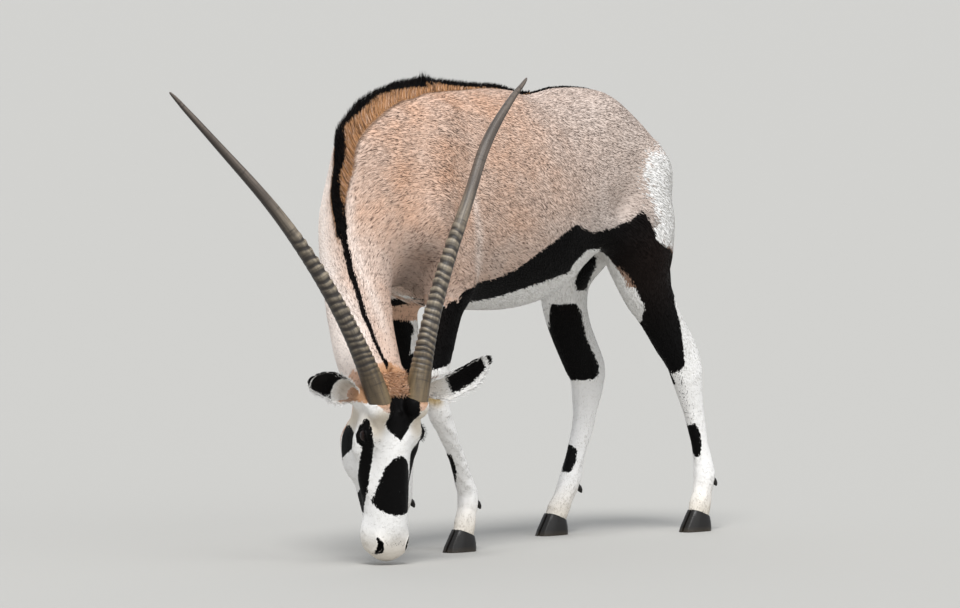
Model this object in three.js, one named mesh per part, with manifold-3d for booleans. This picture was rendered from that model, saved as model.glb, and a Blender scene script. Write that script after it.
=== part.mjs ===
// A gemsbok (Oryx gazella) grazing, life-size: head low and turned to its left, left foreleg bent.
// Millimetres, +Z up. The animal faces -Y, its left side is +X, and it stands on the plane z = 0.
import * as THREE from "three";
import { mergeVertices } from "three/addons/utils/BufferGeometryUtils.js";
import Module from "manifold-3d";

const wasm = await Module();
wasm.setup();
const { Manifold, Mesh } = wasm;

// named sizes

const GAP = 0.3; // width of the cut between two nodes that lie face to face
const BODY_CELL = 15; // grid of the body's skin before it is thinned out
const HEAD_CELL = 6; // the same for the head
const BODY_TRIANGLES = 3400;
const HEAD_TRIANGLES = 1650;

// the head's own axes: a runs down the face to the muzzle, b out of the face, c to the animal's left
const HEAD = { at: [313, -737, 400], yaw: 74.7, pitch: 3.0, roll: -0.9 };
const EYE = { a: 77, b: -33, c: 67, radius: 21, lid: 3, halfLong: 16.5, halfTall: 10.5, rim: 2.6 };
const HORN = {
  base: [-10, -4, 54],
  tip: [-771, -235, 520],
  bow: { out: 20, inward: 64 },
  sway: [22, 8.5],
  root: 29,
  sunk: 26,
  rings: 19,
  ringFrom: 0.13,
  ringTo: 0.56,
  ringRise: 2.3,
  sides: 10,
};
const EAR = { root: [-16, -72, 70], cut: 34, length: 198, width: 76, wall: 5, bow: { left: 33, right: 3 } };
const EARS = {
  left: { axis: [-0.405, 0.46, 0.79], open: [0.25, 0.87, -0.43] },
  right: { axis: [-0.25, 0.42, -0.88], open: [0.45, 0.9, 0.1] },
};
// hair: a lock is a flat blade, root sunk under the skin, tapering to its tip
const MANE = { height: 38, thick: 15, locks: 38, wide: 40, lean: 0.62, sunk: 9 };
const TASSEL = { locks: 14, wide: 25, thick: 8, length: 165 };
const CURLS = { count: 14, radius: 13 };
const DEWCLAW = { radius: 9, length: 24 };

// vectors

const add = (p, q, s = 1) => [p[0] + s * q[0], p[1] + s * q[1], p[2] + s * q[2]];
const sub = (p, q) => [p[0] - q[0], p[1] - q[1], p[2] - q[2]];
const mul = (p, s) => [p[0] * s, p[1] * s, p[2] * s];
const dot = (p, q) => p[0] * q[0] + p[1] * q[1] + p[2] * q[2];
const cross = (p, q) => [p[1] * q[2] - p[2] * q[1], p[2] * q[0] - p[0] * q[2], p[0] * q[1] - p[1] * q[0]];
const unit = (p) => mul(p, 1 / Math.hypot(...p));
const mix = (p, q, t) => p.map((v, i) => v + (q[i] - v) * t);
const rad = (d) => (d * Math.PI) / 180;
const smooth = (t) => {
  const s = Math.min(1, Math.max(0, t));
  return s * s * (3 - 2 * s);
};

// a seeded generator, so that the model comes out the same each time
function seeded(seed) {
  let s = seed >>> 0;
  return () => {
    s = (s + 0x6d2b79f5) >>> 0;
    let t = Math.imul(s ^ (s >>> 15), 1 | s);
    t = (t + Math.imul(t ^ (t >>> 7), 61 | t)) ^ t;
    return ((t ^ (t >>> 14)) >>> 0) / 4294967296;
  };
}

// head placement: Rz(yaw) Rx(pitch) Ry(roll) on the local vector (c, -b, -a)
const turn = new THREE.Matrix4()
  .makeRotationZ(rad(HEAD.yaw))
  .multiply(new THREE.Matrix4().makeRotationX(rad(HEAD.pitch)))
  .multiply(new THREE.Matrix4().makeRotationY(rad(HEAD.roll)));
const turnColumns = [0, 4, 8].map((k) => [turn.elements[k], turn.elements[k + 1], turn.elements[k + 2]]);
const headDirection = ([a, b, c]) =>
  add(add(mul(turnColumns[0], c), turnColumns[1], -b), turnColumns[2], -a);
const headPoint = (p) => add(HEAD.at, headDirection(p));
const toHead = (p) => {
  const d = sub(p, HEAD.at);
  return [-dot(d, turnColumns[2]), -dot(d, turnColumns[1]), dot(d, turnColumns[0])];
};

// forms of flesh, as distance fields

const join = (a, b, k) => {
  const h = Math.max(k - Math.abs(a - b), 0) / k;
  return Math.min(a, b) - h * h * k * 0.25;
};
const carve = (d, cut, k) => -join(-d, cut, k);

// beyond this distance a form only has to say that it is far
const REACH = 80;
const boxDistance = (p, lo, hi) =>
  Math.hypot(...p.map((v, k) => Math.max(lo[k] - v, 0, v - hi[k])));

// distance to an ellipse or ellipsoid of half-sizes r, from an offset q in its axes
function ellipsoidDistance(q, r) {
  let k0 = 0;
  let k1 = 0;
  for (let i = 0; i < q.length; i++) {
    k0 += (q[i] / r[i]) ** 2;
    k1 += (q[i] / (r[i] * r[i])) ** 2;
  }
  k0 = Math.sqrt(k0);
  k1 = Math.sqrt(k1);
  return k1 < 1e-9 ? -Math.min(...r) : (k0 * (k0 - 1)) / k1;
}

const ball = (at, r, axes = null) => (p) => {
  const d = sub(p, at);
  return ellipsoidDistance(axes ? axes.map((x) => dot(d, x)) : d, r);
};

// a limb or trunk along a smooth line: each station is [at, half width, depth in front, depth behind],
// and front(t) is the way its front faces
function tube(stations, front, pieces = 4) {
  const n = stations.length;
  const at = (i) => stations[Math.min(n - 1, Math.max(0, i))];
  const fine = [];
  for (let i = 0; i < n - 1; i++) {
    for (let j = 0; j < pieces || (i === n - 2 && j === pieces); j++) {
      const t = j / pieces;
      const [p0, p1, p2, p3] = [at(i - 1), at(i), at(i + 1), at(i + 2)].map((s) => [...s[0], s[1], s[2], s[3]]);
      const spot = p1.map(
        (v, k) =>
          0.5 *
          (2 * v +
            (p2[k] - p0[k]) * t +
            (2 * p0[k] - 5 * v + 4 * p2[k] - p3[k]) * t * t +
            (3 * v - p0[k] - 3 * p2[k] + p3[k]) * t * t * t),
      );
      fine.push({ at: spot.slice(0, 3), w: spot[3], f: spot[4], b: spot[5] });
    }
  }
  fine.forEach((s, i) => {
    const before = fine[Math.max(0, i - 1)].at;
    const after = fine[Math.min(fine.length - 1, i + 1)].at;
    s.along = unit(sub(after, before));
    const face = front(i / (fine.length - 1));
    s.face = unit(sub(face, mul(s.along, dot(face, s.along))));
    s.side = cross(s.face, s.along);
  });
  const spans = fine.slice(0, -1).map((s, i) => {
    const [dx, dy, dz] = sub(fine[i + 1].at, s.at);
    return { x: s.at[0], y: s.at[1], z: s.at[2], dx, dy, dz, l2: dx * dx + dy * dy + dz * dz };
  });
  const most = Math.max(...fine.map((s) => Math.max(s.w, s.f, s.b)));
  const lo = [0, 1, 2].map((k) => Math.min(...fine.map((s) => s.at[k])) - most);
  const hi = [0, 1, 2].map((k) => Math.max(...fine.map((s) => s.at[k])) + most);
  const field = (p) => {
    const far = boxDistance(p, lo, hi);
    if (far > REACH) return far;
    let best = Infinity;
    let bi = 0;
    let bt = 0;
    for (let i = 0; i < fine.length - 1; i++) {
      const s = spans[i];
      const [x, y, z] = [p[0] - s.x, p[1] - s.y, p[2] - s.z];
      const t = Math.min(1, Math.max(0, (x * s.dx + y * s.dy + z * s.dz) / s.l2));
      const d = (x - t * s.dx) ** 2 + (y - t * s.dy) ** 2 + (z - t * s.dz) ** 2;
      if (d < best) {
        best = d;
        bi = i;
        bt = t;
      }
    }
    const s = fine[bi];
    const e = fine[bi + 1];
    const d = sub(p, mix(s.at, e.at, bt));
    const across = dot(d, mix(s.side, e.side, bt));
    const out = dot(d, mix(s.face, e.face, bt));
    const along = dot(d, mix(s.along, e.along, bt));
    const w = s.w + (e.w - s.w) * bt;
    const deep = out > 0 ? s.f + (e.f - s.f) * bt : s.b + (e.b - s.b) * bt;
    return ellipsoidDistance([across, out, along], [w, deep, Math.min(w, deep)]);
  };
  field.fine = fine;
  return field;
}

const capsule = (p, q, r0, r1) => {
  const pq = sub(q, p);
  const l2 = dot(pq, pq);
  return (x) => {
    const t = Math.min(1, Math.max(0, dot(sub(x, p), pq) / l2));
    return Math.hypot(...sub(x, add(p, pq, t))) - (r0 + (r1 - r0) * t);
  };
};

// the body

const forward = () => [0, -1, 0];

// trunk: along the spine, each station [y, top, bottom, half width]
const TRUNK = [
  [-470, 1062, 770, 84],
  [-420, 1114, 700, 116],
  [-350, 1150, 652, 140],
  [-270, 1164, 624, 160],
  [-170, 1162, 604, 178],
  [-50, 1164, 592, 190],
  [60, 1168, 606, 190],
  [150, 1170, 660, 176],
  [230, 1166, 728, 158],
  [310, 1154, 764, 145],
  [400, 1112, 780, 132],
  [470, 1078, 800, 115],
  [524, 1052, 838, 92],
  [556, 1024, 876, 62],
];
const trunk = tube(
  TRUNK.map(([y, top, bottom, half]) => {
    const middle = bottom + (top - bottom) * 0.46;
    return [[0, y, middle], half, top - middle, middle - bottom];
  }),
  () => [0, 0, 1],
  3,
);

// neck: from inside the shoulders to the poll, its crest turning with the head
const NECK = [
  [[0, -320, 950], 118, 208, 190],
  [[0, -440, 918], 112, 200, 186],
  [[0, -524, 850], 112, 116, 172],
  [[24, -575, 764], 98, 90, 146],
  [[66, -620, 672], 86, 88, 118],
  [[122, -664, 580], 82, 88, 94],
  [[184, -702, 496], 78, 74, 80],
  [[240, -714, 420], 62, 60, 76],
];
const crestFace = (t) => {
  const turned = rad(HEAD.yaw * smooth((t - 0.22) / 0.74) * 0.98);
  return [Math.sin(turned), -Math.cos(turned), 1.15 * (1 - smooth((t - 0.05) / 0.5))];
};
const neck = tube(NECK, crestFace, 4);

// a leg, top to bottom: each station [x, y, z, half width, depth in front, depth behind]
const leg = (rows) => tube(rows.map(([x, y, z, w, f, b]) => [[x, y, z], w, f, b]), forward, 3);
const FORE_LEFT = [
  [116, -336, 690, 50, 80, 70],
  [123, -362, 610, 44, 58, 56],
  [131, -388, 525, 38, 46, 44],
  [141, -414, 450, 30, 35, 32],
  [148, -418, 395, 29, 36, 29],
  [149, -402, 348, 28, 32, 27],
  [146, -376, 306, 23, 26, 25],
  [128, -324, 240, 20, 22, 24],
  [107, -274, 172, 22, 23, 28],
  [99, -252, 134, 27, 26, 33],
  [103, -260, 98, 24, 24, 28],
  [109, -274, 66, 26, 28, 30],
  [112, -283, 34, 25, 30, 28],
];
const FORE_RIGHT = [
  [-112, -308, 690, 50, 84, 76],
  [-109, -284, 610, 44, 60, 62],
  [-104, -262, 520, 38, 46, 48],
  [-100, -254, 445, 30, 36, 35],
  [-97, -253, 396, 29, 36, 30],
  [-94, -254, 348, 28, 31, 27],
  [-92, -259, 300, 22, 24, 26],
  [-91, -271, 236, 20, 22, 25],
  [-89, -285, 170, 22, 23, 28],
  [-88, -294, 132, 27, 27, 33],
  [-86, -310, 96, 24, 25, 28],
  [-84, -326, 64, 26, 29, 30],
  [-84, -334, 34, 25, 30, 28],
];
const HIND_LEFT = [
  [96, 402, 800, 74, 96, 130],
  [100, 404, 720, 62, 88, 122],
  [102, 424, 645, 52, 80, 98],
  [104, 470, 578, 45, 62, 76],
  [106, 520, 512, 36, 60, 68],
  [108, 566, 452, 31, 55, 64],
  [109, 588, 408, 33, 53, 51],
  [111, 600, 356, 28, 42, 35],
  [115, 614, 286, 22, 29, 29],
  [120, 628, 206, 20, 25, 27],
  [125, 634, 146, 27, 28, 34],
  [129, 624, 104, 24, 26, 28],
  [134, 606, 62, 27, 32, 33],
  [137, 598, 34, 25, 30, 28],
];
const HIND_RIGHT = [
  [-96, 372, 800, 74, 96, 140],
  [-102, 352, 720, 60, 84, 116],
  [-110, 350, 640, 52, 72, 92],
  [-114, 368, 572, 46, 70, 74],
  [-119, 400, 510, 38, 64, 67],
  [-125, 442, 448, 33, 62, 65],
  [-129, 468, 400, 34, 56, 63],
  [-126, 464, 340, 28, 48, 39],
  [-118, 436, 268, 23, 33, 33],
  [-104, 388, 190, 21, 28, 28],
  [-91, 350, 134, 27, 28, 34],
  [-84, 322, 98, 24, 26, 28],
  [-79, 292, 60, 27, 32, 33],
  [-77, 280, 34, 25, 30, 28],
];
const legs = {
  foreleg_left: FORE_LEFT,
  foreleg_right: FORE_RIGHT,
  hindleg_left: HIND_LEFT,
  hindleg_right: HIND_RIGHT,
};
const legFields = Object.values(legs).map(leg);

// root of the tail, running back out of the rump
const TAIL_ROOT = [
  [[0, 520, 1000], 26, 26, 26],
  [[-1, 578, 990], 18, 20, 19],
  [[-4, 612, 962], 15, 16, 15],
  [[-4, 626, 925], 14, 15, 14],
];
const tailRoot = tube(TAIL_ROOT, forward, 3);

const mirrored = (make) => [make(1), make(-1)];
const muscles = [
  // shoulder blade and upper arm
  ...mirrored((s) => capsule([s * 58, -310, 1072], [s * 118, -404, 838], 54, 68)),
  ...mirrored((s) => capsule([s * 118, -404, 800], [s * 116, -316, 668], 62, 56)),
  // rump and thigh
  ...mirrored((s) => capsule([s * 62, 300, 1056], [s * 74, 432, 930], 78, 86)),
  capsule([80, 440, 930], [96, 410, 730], 78, 88),
  capsule([-80, 436, 930], [-98, 384, 730], 78, 88),
  // flank folds from the belly into each thigh
  capsule([118, 226, 806], [112, 340, 752], 36, 44),
  capsule([-118, 206, 806], [-112, 312, 752], 36, 44),
  ...mirrored((s) => capsule([s * 62, 476, 905], [s * 84, 436, 752], 60, 70)), // buttock
  capsule([0, 430, 948], [0, 492, 950], 66, 50),
  capsule([0, -400, 1103], [0, -560, 1018], 37, 36), // crest of the neck
  // breast
  capsule([0, -440, 850], [0, -396, 740], 98, 88),
];
const chest = ball([0, -240, 800], [158, 240, 180]);

function bodyField(p) {
  let d = join(trunk(p), chest(p), 50);
  for (const m of muscles) d = join(d, m(p), 40);
  d = join(d, neck(p), 60);
  for (const l of legFields) d = join(d, l(p), 30);
  return join(d, tailRoot(p), 16);
}

// the head

const SKULL = [
  [[-46, -74, 0], 56, 42, 46],
  [[0, -76, 0], 64, 68, 70],
  [[50, -80, 0], 70, 84, 86],
  [[100, -80, 0], 66, 90, 88],
  [[150, -76, 0], 59, 86, 78],
  [[210, -68, 0], 56, 76, 62],
  [[270, -60, 0], 53, 66, 50],
  [[322, -56, 0], 52, 56, 46],
  [[354, -56, 0], 47, 42, 40],
];
const skull = tube(SKULL, () => [0, 1, 0], 4);
const headForms = [
  ...mirrored((s) => ball([122, -112, s * 52], [74, 60, 27])), // cheek muscle
  ...mirrored((s) => capsule([96, -142, s * 40], [300, -104, s * 15], 27, 15)), // lower jaw
  ...mirrored((s) => capsule([92, -56, s * 72], [214, -66, s * 50], 18, 15)), // cheekbone
  ...mirrored((s) => capsule([8, -16, s * 48], [-16, -20, s * 60], 33, 32)), // horn pedicle
  ...mirrored((s) => capsule([34, -48, s * 60], [112, -62, s * 70], 20, 18)), // arch behind the eye
  ...Object.values(EARS).map(({ axis }) => {
    const from = [EAR.root[0], EAR.root[1], EAR.root[2] * Math.sign(axis[2])];
    return capsule(from, add(from, unit(axis), EAR.cut + 8), 27, 23);
  }),
  ...mirrored((s) => ball([346, -36, s * 27], [27, 20, 18])), // wing of the nostril
  ball([358, -58, 0], [22, 28, 36]), // upper lip
  ...mirrored((s) => ball([328, -76, s * 36], [38, 24, 21])), // side of the lip
  ball([346, -98, 0], [30, 17, 25]), // chin
];
const brows = mirrored((s) => ball([EYE.a - 6, EYE.b + 4, s * (EYE.c - 9)], [36, 24, 20]));
function headField(p) {
  const q = toHead(p);
  let d = skull(q);
  for (const f of headForms) d = join(d, f(q), 22);
  for (const f of brows) d = join(d, f(q), 24);
  for (const side of [1, -1]) {
    const socket = Math.hypot(q[0] - EYE.a, q[1] - EYE.b, q[2] - side * EYE.c) - (EYE.radius + EYE.lid);
    d = join(d, socket, 12);
  }
  return d;
}

const wholeField = (p) => {
  const q = toHead(p);
  const far = boxDistance(q, [-120, -240, -150], [430, 60, 150]);
  return far > REACH ? bodyField(p) : join(bodyField(p), headField(p), 30);
};

// from a field to a skin

// the surface where a field is zero, cut from a grid of cells, each split into six tetrahedra
function skin(field, lo, hi, cell) {
  const size = lo.map((v, k) => Math.ceil((hi[k] - v) / cell) + 1);
  const node = (i, j, k) => (k * size[1] + j) * size[0] + i;
  const value = new Float32Array(size[0] * size[1] * size[2]).fill(NaN);
  const place = (n) => {
    const i = n % size[0];
    const j = Math.floor(n / size[0]) % size[1];
    return [lo[0] + i * cell, lo[1] + j * cell, lo[2] + Math.floor(n / size[0] / size[1]) * cell];
  };
  const at = (n) => {
    if (Number.isNaN(value[n])) value[n] = field(place(n)) || 1e-4;
    return value[n];
  };
  const points = [];
  const faces = [];
  const known = new Map();
  const crossing = (m, n) => {
    const key = m < n ? m * 1e8 + n : n * 1e8 + m;
    if (!known.has(key)) {
      const [a, b] = m < n ? [m, n] : [n, m];
      const t = Math.min(0.97, Math.max(0.03, at(a) / (at(a) - at(b))));
      known.set(key, points.push(mix(place(a), place(b), t)) - 1);
    }
    return known.get(key);
  };
  const steps = [1, 2, 4];
  const paths = [[0, 1, 2], [0, 2, 1], [1, 0, 2], [1, 2, 0], [2, 0, 1], [2, 1, 0]];
  const tetrahedra = paths.map(([p, q, r]) => {
    const corners = [0, steps[p], steps[p] + steps[q], 7];
    const odd = (q - p + 3) % 3 !== 1;
    return odd ? [corners[0], corners[2], corners[1], corners[3]] : corners;
  });
  const block = 4;
  const spans = size.map((s) => Math.ceil((s - 1) / block));
  for (let bk = 0; bk < spans[2]; bk++)
    for (let bj = 0; bj < spans[1]; bj++)
      for (let bi = 0; bi < spans[0]; bi++) {
        const middle = [bi, bj, bk].map((v, k) => lo[k] + (v + 0.5) * block * cell);
        if (Math.abs(field(middle)) > block * cell * 1.5) continue;
        for (let k = bk * block; k < Math.min(size[2] - 1, (bk + 1) * block); k++)
          for (let j = bj * block; j < Math.min(size[1] - 1, (bj + 1) * block); j++)
            for (let i = bi * block; i < Math.min(size[0] - 1, (bi + 1) * block); i++) {
              const corner = [0, 1, 2, 3, 4, 5, 6, 7].map((c) =>
                node(i + (c & 1), j + ((c >> 1) & 1), k + (c >> 2)),
              );
              const inside = corner.map((n) => at(n) < 0);
              if (inside.every((v) => v === inside[0])) continue;
              for (const tet of tetrahedra) {
                const inner = tet.filter((c) => inside[c]);
                const outer = tet.filter((c) => !inside[c]);
                if (!inner.length || !outer.length) continue;
                const x = (m, n) => crossing(corner[m], corner[n]);
                // the order of the corners tells which way the triangle faces
                const order = [...inner, ...outer].map((c) => tet.indexOf(c));
                let swaps = 0;
                for (let u = 0; u < 4; u++) for (let v = u + 1; v < 4; v++) swaps += order[u] > order[v];
                const put = (a, b, c) => faces.push(swaps % 2 ? [a, c, b] : [a, b, c]);
                if (inner.length === 1) put(...outer.map((o) => x(inner[0], o)));
                else if (outer.length === 1) put(...inner.map((n) => x(n, outer[0])));
                else {
                  const [a, b, c, d] = [
                    x(inner[0], outer[0]),
                    x(inner[0], outer[1]),
                    x(inner[1], outer[1]),
                    x(inner[1], outer[0]),
                  ];
                  put(a, b, c);
                  put(a, c, d);
                }
              }
            }
      }
  return { points, faces };
}

// thins a skin out to a number of triangles, the flattest places first; care(p) keeps some places finer
function thin({ points, faces }, target, care = () => 1) {
  const n = points.length;
  const quadric = Array.from({ length: n }, () => new Float64Array(10));
  const around = Array.from({ length: n }, () => new Set());
  const alive = faces.map(() => true);
  let count = faces.length;
  const normalOf = ([a, b, c]) => cross(sub(points[b], points[a]), sub(points[c], points[a]));
  const addPlane = (q, [x, y, z], d, w) => {
    const row = [x * x, x * y, x * z, x * d, y * y, y * z, y * d, z * z, z * d, d * d];
    for (let i = 0; i < 10; i++) q[i] += w * row[i];
  };
  faces.forEach((f, i) => {
    const m = normalOf(f);
    const area = Math.hypot(...m);
    for (const v of f) around[v].add(i);
    if (area < 1e-9) return;
    const u = mul(m, 1 / area);
    for (const v of f) {
      addPlane(quadric[v], u, -dot(u, points[v]), area * care(points[v]));
      // a light pull to the point itself, so that flat places keep an even mesh
      for (const axis of [[1, 0, 0], [0, 1, 0], [0, 0, 1]]) {
        addPlane(quadric[v], axis, -dot(axis, points[v]), area * 2e-3);
      }
    }
  });
  const cost = (q, [x, y, z]) =>
    q[0] * x * x + 2 * q[1] * x * y + 2 * q[2] * x * z + 2 * q[3] * x + q[4] * y * y +
    2 * q[5] * y * z + 2 * q[6] * y + q[7] * z * z + 2 * q[8] * z + q[9];
  const best = (a, b) => {
    const q = quadric[a].map((v, i) => v + quadric[b][i]);
    const [A, B, C, D, E, F, G, H, I] = q;
    const det = A * (E * H - F * F) - B * (B * H - F * C) + C * (B * F - E * C);
    if (Math.abs(det) > 1e-12) {
      const p = [
        (-D * (E * H - F * F) + G * (B * H - C * F) - I * (B * F - C * E)) / det,
        (D * (B * H - F * C) - G * (A * H - C * C) + I * (A * F - B * C)) / det,
        (-D * (B * F - E * C) + G * (A * F - B * C) - I * (A * E - B * B)) / det,
      ];
      const span = Math.hypot(...sub(points[a], points[b]));
      if (Math.hypot(...sub(p, mix(points[a], points[b], 0.5))) < 2 * span) return [p, cost(q, p)];
    }
    const p = mix(points[a], points[b], 0.5);
    return [p, cost(q, p)];
  };
  const stamp = new Int32Array(n);
  const heap = [];
  const push = (a, b) => {
    const [p, c] = best(a, b);
    const entry = [c, a, b, stamp[a], stamp[b], p];
    let i = heap.push(entry) - 1;
    while (i > 0) {
      const up = (i - 1) >> 1;
      if (heap[up][0] <= entry[0]) break;
      heap[i] = heap[up];
      i = up;
    }
    heap[i] = entry;
  };
  const pop = () => {
    const top = heap[0];
    const last = heap.pop();
    if (heap.length) {
      let i = 0;
      for (;;) {
        let down = 2 * i + 1;
        if (down >= heap.length) break;
        if (down + 1 < heap.length && heap[down + 1][0] < heap[down][0]) down++;
        if (heap[down][0] >= last[0]) break;
        heap[i] = heap[down];
        i = down;
      }
      heap[i] = last;
    }
    return top;
  };
  const neighbours = (v) => {
    const s = new Set();
    for (const f of around[v]) for (const w of faces[f]) if (w !== v) s.add(w);
    return s;
  };
  for (let v = 0; v < n; v++) for (const w of neighbours(v)) if (v < w) push(v, w);
  while (count > target && heap.length) {
    const [, a, b, sa, sb, p] = pop();
    if (stamp[a] !== sa || stamp[b] !== sb) continue;
    const na = neighbours(a);
    const shared = [...neighbours(b)].filter((v) => na.has(v));
    if (!na.has(b) || shared.length !== 2) continue;
    const turned = [...around[a], ...around[b]].some((f) => {
      if (faces[f].includes(a) && faces[f].includes(b)) return false;
      const before = normalOf(faces[f]);
      const [x, y, z] = faces[f].map((v) => (v === a || v === b ? p : points[v]));
      const after = cross(sub(y, x), sub(z, x));
      return dot(before, after) < 0.25 * Math.hypot(...before) * Math.hypot(...after) ||
        Math.hypot(...after) < 1e-3;
    });
    if (turned) continue;
    points[a] = p;
    quadric[b].forEach((v, i) => (quadric[a][i] += v));
    for (const f of [...around[b]]) {
      if (faces[f].includes(a)) {
        for (const v of faces[f]) around[v].delete(f);
        alive[f] = false;
        count--;
      } else {
        faces[f] = faces[f].map((v) => (v === b ? a : v));
        around[a].add(f);
      }
    }
    around[b].clear();
    stamp[b] = -1;
    stamp[a]++;
    for (const v of neighbours(a)) {
      push(a, v);
    }
  }
  return { points, faces: faces.filter((_, i) => alive[i]) };
}

// solids

function solid({ points, faces }) {
  return new Manifold(
    new Mesh({
      numProp: 3,
      vertProperties: new Float32Array(points.flat()),
      triVerts: new Uint32Array(faces.flat()),
    }),
  );
}

// a closed body through rings of points, its ends closed with a fan about their middle
function loft(rings) {
  const n = rings[0].length;
  const points = rings.flat();
  const faces = [];
  for (let r = 0; r + 1 < rings.length; r++)
    for (let i = 0; i < n; i++) {
      const [a, b] = [r * n + i, r * n + ((i + 1) % n)];
      faces.push([a, b, b + n], [a, b + n, a + n]);
    }
  for (const [r, flip] of [[0, true], [rings.length - 1, false]]) {
    const ring = rings[r];
    const middle = points.push(mul(ring.reduce((s, p) => add(s, p), [0, 0, 0]), 1 / n)) - 1;
    for (let i = 0; i < n; i++) {
      const [a, b] = [r * n + i, r * n + ((i + 1) % n)];
      faces.push(flip ? [b, a, middle] : [a, b, middle]);
    }
  }
  const made = solid({ points, faces });
  return made.volume() < 0 ? solid({ points, faces: faces.map(([a, b, c]) => [a, c, b]) }) : made;
}

// three.js geometry as a solid
function fromGeometry(geometry) {
  geometry.deleteAttribute("normal");
  geometry.deleteAttribute("uv");
  const g = mergeVertices(geometry, 1e-4);
  const p = g.getAttribute("position");
  const points = Array.from({ length: p.count }, (_, i) => [p.getX(i), p.getY(i), p.getZ(i)]);
  const faces = [];
  for (let i = 0; i < g.index.count; i += 3) {
    faces.push([g.index.getX(i), g.index.getX(i + 1), g.index.getX(i + 2)]);
  }
  return solid({ points, faces });
}

// an upright box between two corners
const block = (lo, hi) =>
  fromGeometry(
    new THREE.BoxGeometry(...sub(hi, lo)).translate(...mix(lo, hi, 0.5)),
  );

// only the largest closed surface of a solid, without crumbs or sealed hollows
function largest(s) {
  const parts = s.decompose();
  return parts.reduce((a, b) => (a.volume() > b.volume() ? a : b));
}

// the far side of a plane, less half of the cut
const beyond = (s, point, normal) => {
  const u = unit(normal);
  return s.trimByPlane(u, dot(point, u) + GAP / 2);
};

// where the nodes part

const NAPE = { at: headPoint([-60, -96, 16]), normal: headDirection([-0.78, -0.59, 0.19]) };
const NECK_BASE = { at: [0, -505, 900], normal: [0, -0.993, 0.117] };
const LEG_BOXES = {
  foreleg_left: { lo: [8, -560, -20], hi: [260, -130, 590], rise: -0.2 },
  foreleg_right: { lo: [-260, -560, -20], hi: [-8, -130, 590], rise: -0.2 },
  hindleg_left: { lo: [8, 205, -20], hi: [280, 780, 860], rise: 0.3 },
  hindleg_right: { lo: [-280, 190, -20], hi: [-8, 780, 860], rise: 0.3 },
};
const CORONET = { rise: 60, front: -34, fall: 34, back: 34 }; // hairline above the claws
const TAIL_CUT = { at: [-4, 612, 968], along: [-0.05, 0.45, -0.89] };

const signedBox = (q, lo, hi) => Math.max(...q.map((v, k) => Math.max(lo[k] - v, v - hi[k])));
// negative within the head, as far as the nape and a margin past it
const headRegion = (p, margin) =>
  Math.max(
    dot(sub(p, NAPE.at), unit(NAPE.normal)) - margin,
    signedBox(toHead(p), [-170, -300, -170], [440, 90, 170]),
  );

const bodySkin = thin(
  skin((p) => Math.max(wholeField(p), -headRegion(p, -50)), [-250, -840, -20], [380, 690, 1240], BODY_CELL),
  BODY_TRIANGLES,
  (p) => (p[2] < 600 ? 5 : 1),
);
const headLo = [-190, -250, -140];
const headSpan = [600, 320, 280];
const headGrid = skin(
  (q) => {
    const p = headPoint(q);
    return Math.max(wholeField(p), dot(sub(p, NAPE.at), unit(NAPE.normal)) - 24);
  },
  headLo,
  add(headLo, headSpan),
  HEAD_CELL,
);
const nearFace = (q) => {
  const eye = Math.hypot(q[0] - EYE.a, q[1] - EYE.b, Math.abs(q[2]) - EYE.c - 15);
  return 1 + 4 * (1 - smooth((eye - 26) / 22)) + 4 * smooth((q[0] - 280) / 40);
};
const headSkin = thin(headGrid, HEAD_TRIANGLES, nearFace);
headSkin.points = headSkin.points.map(headPoint);
// the head's axes are left-handed, so its triangles are turned over
headSkin.faces = headSkin.faces.map(([a, b, c]) => [a, c, b]);

// drops points no triangle uses
function compact({ points, faces }) {
  const index = new Map();
  const kept = [];
  const used = faces.map((f) =>
    f.map((v) => {
      if (!index.has(v)) index.set(v, kept.push(points[v]) - 1);
      return index.get(v);
    }),
  );
  return { points: kept, faces: used };
}

// crest of the mane

// the skin's surface, met going out from an inner point
function surfaceFrom(inner, way) {
  let [near, far] = [0, 20];
  while (wholeField(add(inner, way, far)) < 0) far += 12;
  near = far - 20;
  for (let i = 0; i < 14; i++) {
    const middle = (near + far) / 2;
    if (wholeField(add(inner, way, middle)) < 0) near = middle;
    else far = middle;
  }
  return add(inner, way, near);
}

const crestStations = [
  ...neck.fine.slice(6).reverse(),
  ...trunk.fine.filter((s) => s.at[1] > -400 && s.at[1] < 130),
].map((s) => ({ at: surfaceFrom(s.at, s.face), up: s.face }));
const crestLine = new THREE.CatmullRomCurve3(crestStations.map((s) => new THREE.Vector3(...s.at)));
const crestLength = crestLine.getLength();

// a place on the crest: u from 0 behind the horns to 1 on the back
function crest(u) {
  const at = crestLine.getPointAt(u).toArray();
  const along = crestLine.getTangentAt(u).toArray();
  const i = Math.min(crestStations.length - 1.001, crestLine.getUtoTmapping(u, 0) * (crestStations.length - 1));
  const near = crestStations[Math.floor(i)];
  const next = crestStations[Math.floor(i) + 1];
  const face = mix(near.up, next.up, i % 1);
  const up = unit(sub(face, mul(along, dot(face, along))));
  return { at, along, up, side: cross(up, along) };
}
const maneHeight = (u) => MANE.height * (0.4 + 0.6 * smooth(u / 0.3)) * (1 - 0.82 * smooth((u - 0.7) / 0.3));

// a flat lock: its face is wide along `wide` and thin along `flat`, and it bends towards `bend`
function lock(root, way, wide, bend, { length, width, thick, sunk }) {
  const flat = unit(cross(way, wide));
  const broad = unit(cross(flat, way));
  const ring = ([t, w, k]) => {
    const at = add(add(root, way, -sunk + t * (length + sunk)), bend, t * t * length);
    return [[1, 0.22], [0, 0.5], [-1, 0.22], [-1, -0.22], [0, -0.5], [1, -0.22]].map(([x, y]) =>
      add(add(at, broad, (x * w * width) / 2), flat, y * k * thick),
    );
  };
  return loft([[0, 0.9, 1], [0.55, 1, 0.9], [1, 0.07, 0.14]].map(ring));
}

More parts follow.
